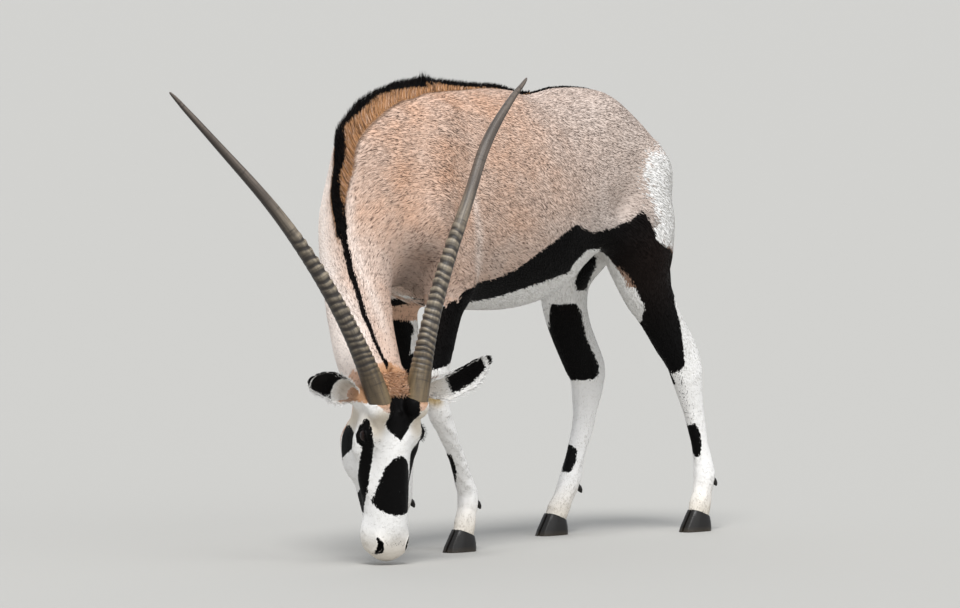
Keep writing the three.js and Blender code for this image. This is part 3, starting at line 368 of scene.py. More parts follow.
def dress(piece: Piece, material: Finish) -> None:
    """Gives a piece its finish and its body.

    Args:
        piece: the finished object.
        material: its material.
    """
    piece.data.materials.clear()
    piece.data.materials.append(material)
    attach(piece, BODY)


def copied_solid(node: str, grow: float = 0.0) -> tuple[Array, Array]:
    """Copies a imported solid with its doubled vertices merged.

    Args:
        node: the solid's name.
        grow: how far its surface is moved out, in metres.

    Returns:
        Its places and its triangles.
    """
    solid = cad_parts[node]
    points = points_of(solid)
    faces = triangles_of(solid)
    _, first, back = np.unique(
        np.round(points * 1e5).astype(np.int64), axis=0, return_index=True, return_inverse=True
    )
    places = points[first]
    faces = back.reshape(-1)[faces]
    faces = faces[
        (faces[:, 0] != faces[:, 1]) & (faces[:, 1] != faces[:, 2]) & (faces[:, 0] != faces[:, 2])
    ]
    if grow:
        corner = places[faces]
        flat = np.cross(corner[:, 1] - corner[:, 0], corner[:, 2] - corner[:, 0])
        total = np.zeros_like(places)
        for k in range(3):
            np.add.at(total, faces[:, k], flat)
        places = places + unit(total) * grow
    return places, faces


@dataclass(frozen=True)
class HeadFrame:
    """The head's own axes."""

    at: tuple[float, float, float] = (313.0, -737.0, 400.0)
    yaw: float = 74.7
    pitch: float = 3.0
    roll: float = -0.9

    def axes(self) -> Array:
        """Works out the directions of the head's axes.

        Returns:
            Three rows, the ways that a, b and c run.
        """
        turn = (
            Matrix.Rotation(math.radians(self.yaw), 3, "Z")
            @ Matrix.Rotation(math.radians(self.pitch), 3, "X")
            @ Matrix.Rotation(math.radians(self.roll), 3, "Y")
        )
        t = np.array(turn)
        return np.array([-t[:, 2], -t[:, 1], t[:, 0]])

    def inward(self, points: Array) -> Array:
        """Turns the animal's places into the head's a, b, c."""
        return (points - np.array(self.at)) @ self.axes().T

    def outward(self, local: Array) -> Array:
        """Turns the head's a, b, c into the animal's places."""
        return np.asarray(local, float) @ self.axes() + np.array(self.at)

    def way(self, local: Array) -> Array:
        """Turns a direction in a, b, c into the animal's axes."""
        return unit(np.asarray(local, float) @ self.axes())


@dataclass(frozen=True)
class EyeSize:
    """Where an eye sits in the head and how its lids open, in millimetres."""

    a: float = 77.0
    b: float = -33.0
    c: float = 67.0
    radius: float = 21.0
    half_long: float = 16.5
    half_tall: float = 10.5
    tilt: float = 0.22

    def centre(self, side: int) -> Array:
        """The eye's centre in a, b, c."""
        return np.array([self.a, self.b, side * self.c])

    def almond(self, away: Array) -> tuple[Array, Array]:
        """Measures places along and across the almond.

        Args:
            away: places from the eye's centre, in a, b, c.

        Returns:
            How far along it and how far across it they lie.
        """
        turned = 1 + self.tilt**2
        along = (away[:, 0] + self.tilt * away[:, 1]) / turned
        return along, (away[:, 1] - self.tilt * away[:, 0]) / turned

    def opening(self, local: Array, side: int) -> Array:
        """Measures how far places lie outside the almond between the lids.

        Args:
            local: places in a, b, c.
            side: 1 for the left eye, -1 for the right.

        Returns:
            Distance, negative inside the almond.
        """
        along, across = self.almond(local - self.centre(side))
        full = (np.abs(along) / self.half_long) ** 2.35 + (np.abs(across) / self.half_tall) ** 1.74
        return (np.sqrt(full) - 1) * 12.5


@dataclass(frozen=True)
class Placement:
    """Turns the animal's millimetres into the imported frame's metres."""

    shift: tuple[float, float, float]

    @classmethod
    def from_solids(cls, head: HeadFrame, eye: EyeSize) -> "Placement":
        """Finds the shift from where the left eye was packed.

        Args:
            head: the head's axes.
            eye: where the eye sits.

        Returns:
            The placement.
        """
        low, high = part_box("eye_left")
        packed = (np.array(low) + np.array(high)) / 2
        made = head.outward(eye.centre(1)[None, :])[0] * 0.001
        return cls(tuple(packed - made))

    def row(self, points: Array) -> Array:
        """Turns the animal's millimetres into the frame's metres."""
        return np.asarray(points, float) * 0.001 + np.array(self.shift)

    def animal(self, points: Array) -> Array:
        """Turns the frame's metres into the animal's millimetres."""
        return (np.asarray(points, float) - np.array(self.shift)) * 1000.0


@dataclass
class SpineLine:
    """The line from the poll over the withers to the tail, inside the body and along its crest."""

    neck: tuple = (
        (240, -714, 420), (184, -702, 496), (122, -664, 580), (66, -620, 672), (24, -575, 764),
        (0, -524, 850), (0, -440, 918),
    )
    back: tuple = (-400, 560)
    head_turn: float = 74.7
    beside: tuple = (24.0, 36.0)

    def lay(self, tree: BVHTree, place: Placement) -> None:
        """Works out the crest's places on the solids.

        Args:
            tree: the flesh solids, in the frame's metres.
            place: turns the animal's places into the frame's.
        """
        centres, faces = [], []
        last = len(self.neck)
        for i in range(last - 1):
            for j in range(6):
                t = i + j / 6
                share = 1 - t / last
                low, high = np.array(self.neck[i], float), np.array(self.neck[i + 1], float)
                centres.append(low + (high - low) * j / 6)
                turned = math.radians(self.head_turn * 0.98 * float(smooth(share, 0.22, 0.96)))
                rise = 1.15 * (1 - float(smooth(share, 0.05, 0.55)))
                faces.append([math.sin(turned), -math.cos(turned), rise])
        for y in np.linspace(self.back[0], self.back[1], 40):
            centres.append(
                [0, y, float(np.interp(y, [-400, -350, 100, 400, 560], [905, 890, 860, 930, 960]))]
            )
            faces.append([0, -0.15 * (1 - float(smooth(y, -400, -300))), 1])
        self.centres = np.array(centres)
        self.along = unit(np.gradient(self.centres, axis=0))
        face = np.array(faces)
        self.face = across_way(face, self.along)
        self.side = np.cross(self.along, self.face)
        crest = []
        for centre, up, side in zip(self.centres, self.face, self.side):
            tops = []
            for reach in self.beside:
                found = []
                for way in (-1, 1):
                    start = centre + side * way * reach
                    hit = tree.ray_cast(Vector(place.row(start + up * 400)), Vector(-up))
                    if hit[0] is not None:
                        found.append(float((place.animal(np.array(hit[0])) - centre) @ up))
                tops.append(np.mean(found) if found else np.nan)
            near, far = self.beside
            curve = np.clip((tops[0] - tops[1]) / (far**2 - near**2), 0, 0.012)
            crest.append(tops[0] + curve * near**2)
        height = np.array(crest)
        known = ~np.isnan(height)
        steps = np.arange(len(height))
        height = np.interp(steps, steps[known], height[known])
        padded = np.pad(height, 2, mode="edge")
        height = np.convolve(padded, np.ones(5) / 5, mode="valid")
        self.crest = self.centres + self.face * height[:, None]
        self.run = unit(np.gradient(self.crest, axis=0))
        self.length = np.concatenate([[0], np.cumsum(np.linalg.norm(np.diff(self.crest, axis=0), axis=1))])

    def beside_crest(self, points: Array) -> tuple[Array, Array, Array]:
        """Places points beside the crest.

        Args:
            points: places.

        Returns:
            Distance along the crest from the poll, distance to the animal's left of it, and height.
        """
        near = nearest_stop(points, self.crest)
        away = points - self.crest[near]
        along = self.length[near] + np.sum(away * self.run[near], axis=1)
        return along, np.sum(away * self.side[near], axis=1), np.sum(away * self.face[near], axis=1)

    def section(self, points: Array) -> tuple[Array, Array, Array]:
        """Places points in the cross-section of the body that they lie in.

        Args:
            points: places.

        Returns:
            The number of the nearest section, distance across it and distance towards the crest.
        """
        near = nearest_stop(points, self.centres)
        away = points - self.centres[near]
        return near, np.sum(away * self.side[near], axis=1), np.sum(away * self.face[near], axis=1)

    def at(self, along: Array) -> tuple[Array, Array, Array, Array]:
        """Finds places on the crest.

        Args:
            along: distances from the poll.

        Returns:
            The places, the way along, the way up and the way to the left.
        """
        found = []
        for line in (self.crest, self.run, self.face, self.side):
            found.append(np.stack([np.interp(along, self.length, line[:, k]) for k in range(3)], axis=1))
        return found[0], unit(found[1]), unit(found[2]), unit(found[3])


@dataclass
class Limbs:
    """Cross-sections of the four legs, read off the skin so that markings can follow each leg."""

    step: float = 14.0

    def measure(self, points: Array, region: Array) -> None:
        """Reads each leg's middle and half-sizes level by level.

        Args:
            points: the skin's places.
            region: each place's part of the body.
        """
        self.rows = {}
        for number, name in enumerate(FLESH):
            if name not in LEGS:
                continue
            own = points[region == number]
            levels = np.arange(own[:, 2].min() + self.step, own[:, 2].max() - self.step, self.step)
            found = []
            for level in levels:
                cut = own[np.abs(own[:, 2] - level) < self.step]
                low, high = cut.min(axis=0), cut.max(axis=0)
                found.append([level, *(low + high)[:2] / 2, *(high - low)[:2] / 2])
            table = np.array(found)
            for k in range(1, 5):
                table[:, k] = np.convolve(np.pad(table[:, k], 1, mode="edge"), np.ones(3) / 3, "valid")
            self.rows[name] = table

    def middle(self, name: str, z: Array) -> tuple[Array, Array, Array, Array]:
        """Finds a leg's middle and half-sizes at some heights.

        Args:
            name: the leg.
            z: the heights.

        Returns:
            Middle x, middle y, half width and half depth.
        """
        table = self.rows[name]
        return tuple(np.interp(z, table[:, 0], table[:, k]) for k in range(1, 5))


class Mark(Enum):
    """The fields that colour skin and coat alike."""

    BLACK = "black"
    WHITE = "white"
    # besides real brown, this field carries painted shade in front of the elbows
    BROWN = "brown"
    RUST = "rust"
    CREAM = "cream"
    GREY = "grey"
    STAIN = "stain"


@dataclass
class EarFrame:
    """One ear's own axes in the head's a, b, c, as the cup was modelled."""

    side: int
    axis: tuple
    opened: tuple
    bow: float
    root: tuple = (-16.0, -72.0, 70.0)
    cut: float = 28.0
    length: float = 198.0
    half: float = 38.0

    def ways(self) -> tuple[Array, Array, Array, Array]:
        """Works out the ear's root and axes.

        Returns:
            The root, the way to the tip, the way the cup opens and the way across it.
        """
        run = unit(np.array(self.axis))
        opened = np.array(self.opened)
        front = unit(opened - run * float(opened @ run))
        root = np.array(self.root) * [1, 1, self.side]
        return root, run, front, np.cross(front, run)

    def cup(self, local: Array) -> tuple[Array, Array, Array]:
        """Places points in the cup.

        Args:
            local: places in a, b, c.

        Returns:
            Share of the length, share of the half width across, and the half width.
        """
        root, run, _, across = self.ways()
        away = local - root
        u = (away @ run - self.cut) / self.length
        late = np.where(u > 0.5, 1 - ((u - 0.5) / 0.52) ** 2, 1)
        wide = self.half * (0.5 + 0.5 * smooth(u, 0, 0.42)) * np.maximum(late, 0.02) ** 0.62
        v = (away @ across - self.bow * np.sin(math.pi * np.clip(u, 0, 1))) / wide
        return u, v, wide


@dataclass
class Spots:
    """Places on the animal, with where they lie by every measure that the markings use."""

    points: Array
    region: Array
    normals: Array
    head: HeadFrame
    spine: SpineLine
    facing: tuple = (0.668, -0.743, 0.048)

    def __post_init__(self) -> None:
        """Measures the places along the crest, across the body and in the head."""
        self.x, self.y, self.z = self.points.T
        self.along, self.aside, self.rise = self.spine.beside_crest(self.points)
        _, self.across, self.up = self.spine.section(self.points)
        self.local = self.head.inward(self.points)
        self.slant = np.stack([0.7436 * self.x + 0.6686 * self.y, self.z], axis=1)
        self.seen = self.normals @ np.array(self.facing) > -0.05

    def on(self, *names: str) -> Array:
        """Tells which places lie on the named parts."""
        return on_part(self.region, *names)

    def only(self, chosen: Array) -> "Spots":
        """Keeps some of the places."""
        return Spots(self.points[chosen], self.region[chosen], self.normals[chosen], self.head, self.spine)


@dataclass
class Markings:
    """The animal's markings and some painted shade, as named outlines on its own parts in millimetres."""

    head: HeadFrame
    eye: EyeSize
    spine: SpineLine
    limbs: Limbs
    ears: dict
    edge_span: float = 60.0
    flank_top: tuple = (
        (-350, 640), (-344, 657), (-307, 668), (-183, 682), (-116, 705), (-58, 742), (-4, 773),
        (34, 794), (80, 813), (162, 787), (206, 790), (250, 797), (290, 805),
    )
    flank_bottom: tuple = (
        (290, 735), (240, 742), (170, 746), (154, 742), (112, 715), (107, 689), (66, 680),
        (-5, 665), (-68, 650), (-123, 636), (-165, 627), (-315, 618), (-350, 612),
    )
    thigh: tuple = (
        (150, 790), (170, 746), (240, 742), (290, 722), (340, 668), (395, 590), (408, 552),
        (430, 520), (445, 486), (480, 448), (528, 410), (548, 428), (548, 440), (536, 500),
        (527, 549), (505, 600), (560, 640), (640, 690), (640, 715), (560, 722), (470, 728),
        (419, 748), (394, 761), (379, 808), (363, 839), (329, 812), (250, 797), (206, 790),
    )
    wedge: tuple = (
        (144, 754), (252, 739), (330, 673), (356, 623), (396, 575), (413, 548), (405, 520),
        (300, 480), (100, 600), (100, 700),
    )
    buttock: tuple = (
        (391, 985), (374, 928), (388, 877), (406, 812), (419, 752), (470, 732), (640, 720),
        (720, 850), (720, 985), (560, 1000), (470, 992),
    )
    left_wedge: tuple = (
        (210, 730), (243, 732), (270, 719), (289, 697), (315, 652), (329, 619), (358, 574), (356, 549),
        (345, 543), (320, 568), (270, 628), (235, 688),
    )
    right_garter: tuple = (
        (120, 592), (186, 594), (200, 576), (216, 500), (247, 430), (249, 410), (238, 392), (140, 390),
        (80, 440), (90, 520), (118, 532),
    )
    # painted shadow: the white inner thigh of the right hind leg, painted black where shade falls on it
    right_inner_thigh_shadow: tuple = (
        (186, 650), (200, 690), (215, 720), (240, 725), (240, 690), (222, 650), (214, 625), (190, 628)
    )
    cannons: tuple = (
        (
            "foreleg_left",
            ((-165, 250), (-135, 250), (-128, 236), (-122, 206), (-121, 185), (-126, 166), (-140, 175)),
        ),
        (
            "hindleg_left",
            ((470, 272), (495, 277), (508, 258), (511, 215), (506, 190), (496, 188), (480, 215)),
        ),
        (
            "hindleg_right",
            ((168, 228), (190, 215), (186, 185), (172, 158), (150, 158), (148, 190), (156, 216)),
        ),
    )
    right_black: tuple = (
        (-330, 585), (-236, 575), (-222, 545), (-232, 542), (-236, 490), (-205, 486), (-205, 435),
        (-330, 430),
    )
    face_diamond: tuple = ((-48, 30), (-20, 42), (2, 44), (22, 45), (48, 38), (66, 27), (90, 0))
    nose_patch: tuple = (
        (126, 0), (128, 6), (137, 20), (154, 34), (200, 44), (228, 51), (244, 52), (258, 46), (270, 32),
        (278, 0),
    )
    eye_stripe: tuple = (
        (46, -26, 80), (71, -15, 84), (99, -20, 76), (138, -42, 68), (176, -52, 70), (215, -67, 68),
        (253, -105, 48),
    )
    cheek_patch: tuple = (
        (150, -150), (137, -130), (128, -112), (102, -66), (86, -76), (72, -92), (60, -111), (62, -140)
    )

    def read(self, points: Array, region: Array, normals: Array) -> dict[Mark, Array]:
        """Works out every marking at some places on the skin.

        Args:
            points: places.
            region: each place's part of the body.
            normals: the skin's outward ways there.

        Returns:
            For black and white 0.5 is the marking's edge, and the others run from 0 to 1.
        """
        spots = Spots(points, region, normals, self.head, self.spine)
        black = np.maximum(np.maximum(self._flank(spots), self._crest(spots)), self._throat(spots))
        white = self._belly(spots)
        stain = np.zeros(len(points))
        for names, read in ((LEGS, self._leg), (("head",), self._face), (tuple(self.ears), self._ear)):
            for name in names:
                on = spots.on(name)
                if not on.any():
                    continue
                found = read(name, spots.only(on))
                if names is LEGS:
                    black[on] = np.maximum(black[on], found[0])
                    white[on] = np.maximum(white[on], found[1])
                else:
                    black[on], white[on] = found[0], found[1]
                stain[on] = found[2]
        front = spots.on("torso", "hindleg_left") & spots.seen & (spots.x > 60)
        open_wedge = np.where(front, outline_reach(spots.slant, self.left_wedge), OUTSIDE)
        black, white = np.minimum(black, -open_wedge), np.maximum(white, open_wedge)
        marks = {
            Mark.BLACK: np.clip(0.5 + black / self.edge_span, 0, 1),
            Mark.WHITE: np.clip(0.5 + white / self.edge_span, 0, 1), Mark.STAIN: stain,
        }
        marks.update(self._soft(spots))
        return marks

    def _like_left(self, name: str, spots: Spots) -> Array:
        """Moves places on a right leg to where they would be on the left one.

        Args:
            name: the leg.
            spots: places on it.

        Returns:
            Their y and z on the left side.
        """
        y, z = spots.y, spots.z
        kind = name.split("_")[0]
        left = self.limbs.middle(f"{kind}_left", z)
        right = self.limbs.middle(f"{kind}_right", z)
        fade = 1 - smooth(z, 700, 860) if kind == "hindleg" else 1 - smooth(z, 560, 680)
        moved = left[1] + (y - right[1]) * left[3] / np.maximum(right[3], 1)
        return np.stack([y + (moved - y) * fade, z], axis=1)

    def _flank(self, spots: Spots) -> Array:
        """The black band along the flank and over the thigh, on both sides.

        Args:
            spots: places on the animal.

        Returns:
            Distance inside it.
        """
        flat = spots.points[:, 1:]
        band = outline_reach(flat, [*self.flank_top, *self.flank_bottom])
        band = np.where(spots.on("torso", *LEGS) & (np.abs(spots.x) > 40), band, OUTSIDE)
        thigh = outline_reach(flat, self.thigh)
        outer = spots.on("torso") & (np.abs(spots.x) > 75)
        return np.maximum(band, np.where(outer, thigh, OUTSIDE))

    def _crest(self, spots: Spots) -> Array:
        """The black line along the neck and back.

        Args:
            spots: places on the animal.

        Returns:
            Distance inside it.
        """
        along = spots.along
        half = np.interp(
            along, [0, 83, 119, 230, 364, 499, 640, 1000, 1150, 1878], [2, 3, 4, 5, 7, 9, 9, 6, 4.5, 5]
        )
        line = half - np.abs(spots.aside - crest_line(along))
        return np.where(spots.on("torso", "neck") & (spots.rise > -60), line, OUTSIDE)

    def _throat(self, spots: Spots) -> Array:
        """The black stripe down the throat, and the patch between the forelegs.

        Args:
            spots: places on the animal.

        Returns:
            Distance inside it.
        """
        stripe = np.where(spots.on("neck") & (spots.up < -10), 24 - np.abs(spots.across), OUTSIDE)
        breast = np.minimum(26 - np.abs(spots.x), 600 - spots.z)
        return np.maximum(stripe, np.where(spots.on("torso") & (spots.y < -250), breast, OUTSIDE))

    def _belly(self, spots: Spots) -> Array:
        """White under the belly, on the inner thighs and, with a soft edge, on the buttocks.

        Args:
            spots: places on the animal.

        Returns:
            Distance inside it.
        """
        x, y, z = spots.x, spots.y, spots.z
        level = np.interp(y, [-360, -165, -5, 66, 130, 290, 420], [625, 640, 672, 690, 735, 760, 800])
        belly = np.where(spots.on("torso") & (y > -300), level - z, OUTSIDE)
        rump = outline_reach(spots.points[:, 1:], self.buttock) * 0.18
        inner = np.where((np.abs(x) < 62) & (y > 240), np.minimum(62 - np.abs(x), 960 - z), OUTSIDE)
        wedge = outline_reach(spots.points[:, 1:], self.wedge)
        rear = spots.on("torso", *LEGS[2:])
        return np.maximum(belly, np.where(rear, np.maximum(np.maximum(rump, inner), wedge), OUTSIDE))

    def _leg(self, name: str, spots: Spots) -> tuple[Array, Array, Array]:
        """A leg's black garter and cannon patch over white, and painted shadow on the right hind leg's
        inner thigh.

        Args:
            name: the leg.
            spots: places on it.

        Returns:
            Distance inside the black, distance inside the white, and how stained it is.
        """
        side = 1 if "left" in name else -1
        z = spots.z
        mid_x, mid_y, half_x, half_y = self.limbs.middle(name, z)
        out = (spots.x - mid_x) * side / half_x
        back = (spots.y - mid_y) / half_y
        flat = self._like_left(name, spots) if side < 0 else spots.points[:, 1:]
        if "fore" in name:
            top = np.interp(flat[:, 0], [-460, -367, -300], [590, 638, 668])
            garter = np.minimum(top - z, z - (474 + 10 * back))
            inner = np.minimum(np.minimum(-0.25 - out, 0) * 30 + 14, 30 - np.abs(z - 548))
            garter = np.where(inner > 0, np.minimum(garter, -inner), garter)
            if side < 0:
                garter = np.where(spots.seen, outline_reach(spots.slant, self.right_black), garter)
            patch = np.where(out < 0.85, 30 * (1 - np.hypot((z - 205) / 46, (back + 0.95) / 0.75)), -60)
            white = np.maximum(625 - z, np.where(out < -0.2, 690 - z, OUTSIDE))
            if side < 0:
                white = np.where(spots.seen, np.minimum(575 - z, white), white)
            stain = smooth(1 - np.hypot((z - 408) / 46, (back + 0.7) / 0.9), 0, 0.6)
        else:
            ring = np.minimum(592 + 14 * back - z, z - (392 + 14 * back))
            ring = np.minimum(ring, (0.55 - back) * half_y)
            garter = np.where(out > -0.1, outline_reach(flat, self.thigh), ring)
            if side < 0:
                # the real garter, joined by the painted shadow on the inner thigh
                near = np.maximum(
                    outline_reach(spots.slant, self.right_garter),
                    outline_reach(spots.slant, self.right_inner_thigh_shadow),
                )
                garter = np.where(spots.seen & (out < 0.5), near, garter)
            patch = np.where(
                np.abs(out) < 0.95, 30 * (1 - np.hypot((z - 208) / 52, (back + 0.9) / 0.62)), -60
            )
            if side > 0:
                trail = line_reach(spots.slant, [(448, 414), (464, 366), (476, 327), (484, 280)], 11.0)
                garter = np.maximum(garter, np.where(spots.seen, np.minimum(trail, -1.8), OUTSIDE))
            white = np.maximum(np.where(out > -0.1, 640 - z, 840 - z), outline_reach(flat, self.wedge))
            white = np.maximum(white, 0.18 * outline_reach(flat, self.buttock))
            stain = np.zeros(len(z))
        for leg, outline in self.cannons:
            if leg == name:
                patch = np.where(spots.seen, outline_reach(spots.slant, outline), patch)
        return np.maximum(garter, patch), white, np.maximum(stain, 0.4 * smooth(150 - z, 0, 110))

    def _face(self, name: str, spots: Spots) -> tuple[Array, Array, Array]:
        """The black and white face, with painted shade along the crease of the mouth.

        Args:
            name: the head, not used.
            spots: places on it.

        Returns:
            Distance inside the black, distance inside the white, and how stained it is.
        """
        local = spots.local
        a, b, c = local.T
        flat = np.stack([a, np.abs(c)], axis=1)
        crown = [(-48, -5), *self.face_diamond, (90, -5)]
        nose = [*self.nose_patch, (278, -5), (126, -5)]
        over = np.maximum(outline_reach(flat, crown), outline_reach(flat, nose))
        black = np.where(b > -52, over, OUTSIDE)
        mirrored = np.stack([a, b, np.abs(c)], axis=1)
        black = np.maximum(black, line_reach(mirrored, self.eye_stripe, [12, 15, 15, 15, 16, 20, 25]))
        cheek = outline_reach(np.stack([a, b], axis=1), self.cheek_patch)
        black = np.maximum(black, np.where(np.abs(c) > 25, cheek, OUTSIDE))
        black = np.maximum(black, np.minimum(26 - np.abs(c), np.minimum(-128 - b, 215 - a)))
        for side in (1, -1):
            close = (np.linalg.norm(local - self.eye.centre(side), axis=1) < 38) & (c * side > 0)
            black = np.maximum(black, np.where(close, 11.0 - self.eye.opening(local, side), OUTSIDE))
            slot, _ = nostril_reach(local, side)
            black = np.maximum(black, np.where(slot < 12, 2.0 - slot, OUTSIDE))
        # painted shade: a dark line along the crease between the lips
        mouth_crease_shade = (np.abs(b - mouth_height(a)) < 2.2) & (a > 276) & (b < -78)
        black = np.where(mouth_crease_shade, np.maximum(black, 1.5), black)
        # the bare muzzle between the nostrils is speckled grey and black
        muzzle = np.minimum(30 - np.abs(c), np.minimum(a - 338, 40))
        black = np.where((muzzle > 0) & (b > -50), np.maximum(black, -2.2), black)
        white = a - 16 + 22 * smooth(np.abs(c), 52, 80)
        nape = b + 95 + 0.42 * (a - 60)
        white = np.where(a < 150, np.minimum(white, nape + 40), white)
        stain = 0.5 * smooth(1 - np.hypot((a - 45) / 60, (np.abs(c) - 58) / 34), 0, 0.7)
        return black, white, np.maximum(stain, 0.35 * smooth(a, 300, 372))

    def _ear(self, name: str, spots: Spots) -> tuple[Array, Array, Array]:
        """The ear's black lining, dark upper rim and tip over white.

        Args:
            name: the ear.
            spots: places on it.

        Returns:
            Distance inside the black, distance inside the white, and how stained it is.
        """
        ear = self.ears[name]
        u, v, wide = ear.cup(spots.local)
        front = ear.ways()[2] @ self.head.axes()
        inner = spots.normals @ front > 0.12
        half, middle = (0.66, -0.1) if ear.side > 0 else (0.84, 0.0)
        ends = np.minimum(u - 0.37, 0.88 - u) * ear.length
        lining = np.minimum(ends, (half - np.abs(v - middle)) * wide)
        rim = np.minimum((-v * ear.side - 0.78) * wide, (u - 0.35) * ear.length)
        black = np.maximum(np.where(inner, lining, -30), np.maximum(rim, (u - 0.94) * ear.length))
        root = np.where(inner, -30, (0.30 - u) * ear.length)
        return black, np.minimum(30.0, -root), 0.3 * smooth(0.5 - u, 0, 0.4)

    def _soft(self, spots: Spots) -> dict[Mark, Array]:
        """The soft changes of tone over the body: brown with painted shade in front of the elbows, rust,
        cream and grey.

        Args:
            spots: places on the animal.

        Returns:
            Each mark's strength, from 0 to 1.
        """
        y, z, along, aside = spots.y, spots.z, spots.along, spots.aside
        trunk = spots.on("torso", "neck")
        # painted shade: dark brown in front of each elbow, where shade falls
        brown = 0.6 * np.exp(-(((y + 450) / 60) ** 2 + ((z - 660) / 110) ** 2)) * (np.abs(spots.x) > 50)
        thigh = np.exp(-(((y - 420) / 120) ** 2 + ((z - 700) / 110) ** 2)) * (np.abs(spots.x) > 60)
        brown = np.maximum(brown, 0.9 * thigh)
        parting = np.exp(
            -(((np.abs(aside) - mane_half(along)) / 3.0) ** 2)
        ) * (along > 440) * (along < 1230)
        brown = np.maximum(brown, 0.75 * parting * trunk)
        mane = smooth(along, 380, 520) * (1 - smooth(along, 1080, 1250))
        inside = 1 - smooth(np.abs(aside) / np.maximum(mane_half(along), 1), 0.85, 1.1)
        rust = mane * inside * trunk
        a, b, _ = spots.local.T
        poll = spots.on("head") & (a < 45)
        rust = np.where(poll, np.maximum(rust, 0.7 * (1 - smooth(a, -12, 16)) * smooth(b, -75, -40)), rust)
        neck_part = (1 - smooth(along, 620, 820)) * trunk
        cream = neck_part * smooth(-spots.across, -5, 60) * 0.95
        ridge = neck_part * smooth(along, 60, 220) * np.exp(-(((aside - 26) / 16) ** 2))
        cream = np.maximum(cream, 0.5 * ridge)
        crease = np.exp(
            -(((y + 262 + 0.12 * (z - 700)) / 12) ** 2)
        ) * smooth(z, 640, 700) * (1 - smooth(z, 860, 940))
        cream = np.maximum(cream, 0.5 * crease * spots.on("torso"))
        grey = 0.8 * smooth(y, -200, 260) * trunk + 0.35 * smooth(-z, -900, -720) * trunk
        tones = ((Mark.BROWN, brown), (Mark.RUST, rust), (Mark.CREAM, cream), (Mark.GREY, grey))
        return {mark: np.clip(values, 0, 1) for mark, values in tones}


def crest_line(along: Array) -> Array:
    """Finds how far left of the neck's ridge its black line runs."""
    stops = [0, 40, 83, 119, 178, 230, 285, 364, 433, 499, 565, 640, 760]
    return np.interp(along, stops, [-4, -7.1, -3.7, -17.6, -14.2, -8.6, 1.5, 7.5, 13.5, 8.8, 8.4, 4.5, 0])


def mane_half(along: Array) -> Array:
    """Finds how far to each side of the crest the mane is rooted."""
    stops = [0, 400, 450, 520, 580, 650, 800, 950, 1070, 1150, 1250, 1400, 1900]
    return np.interp(along, stops, [5, 5, 12, 20, 30, 36, 42, 40, 32, 18, 9, 6, 6])


def bare_marks(count: int) -> dict[str, Array]:
    """Gives hair no mark, so that its piece can colour it."""
    return {mark.value: np.zeros(count) for mark in Mark}


def nostril_reach(local: Array, side: int) -> tuple[Array, Array]:
    """Measures how far places lie outside a comma-shaped nostril.

    Args:
        local: places in a, b, c.
        side: 1 for the left, -1 for the right.

    Returns:
        Distance, negative inside the slot, and the way into the nose.
    """
    away = local - np.array([356.0, -20.0, side * 38.0])
    long_way = np.array([0.9285, -0.3714, 0.0])
    wide_way = unit(np.array([-0.12, -0.3, 0.9 * side]))
    length = away @ long_way
    width = away @ wide_way - 0.018 * length**2
    full = np.hypot(length / 17.0, width / 6.5)
    far = np.linalg.norm(away, axis=1)
    inward = unit(np.array([-2.0, -28.0, -20.0 * side]))
    return np.where(far < 34, (full - 1) * 6.0, 40.0), inward


def mouth_height(a: Array) -> Array:
    """Finds where the line between the lips runs.

    Args:
        a: places down the face.

    Returns:
        The line's b there.
    """
    return np.interp(a, [274, 287, 302, 327, 352], [-94, -92.5, -91, -89.4, -86.7])


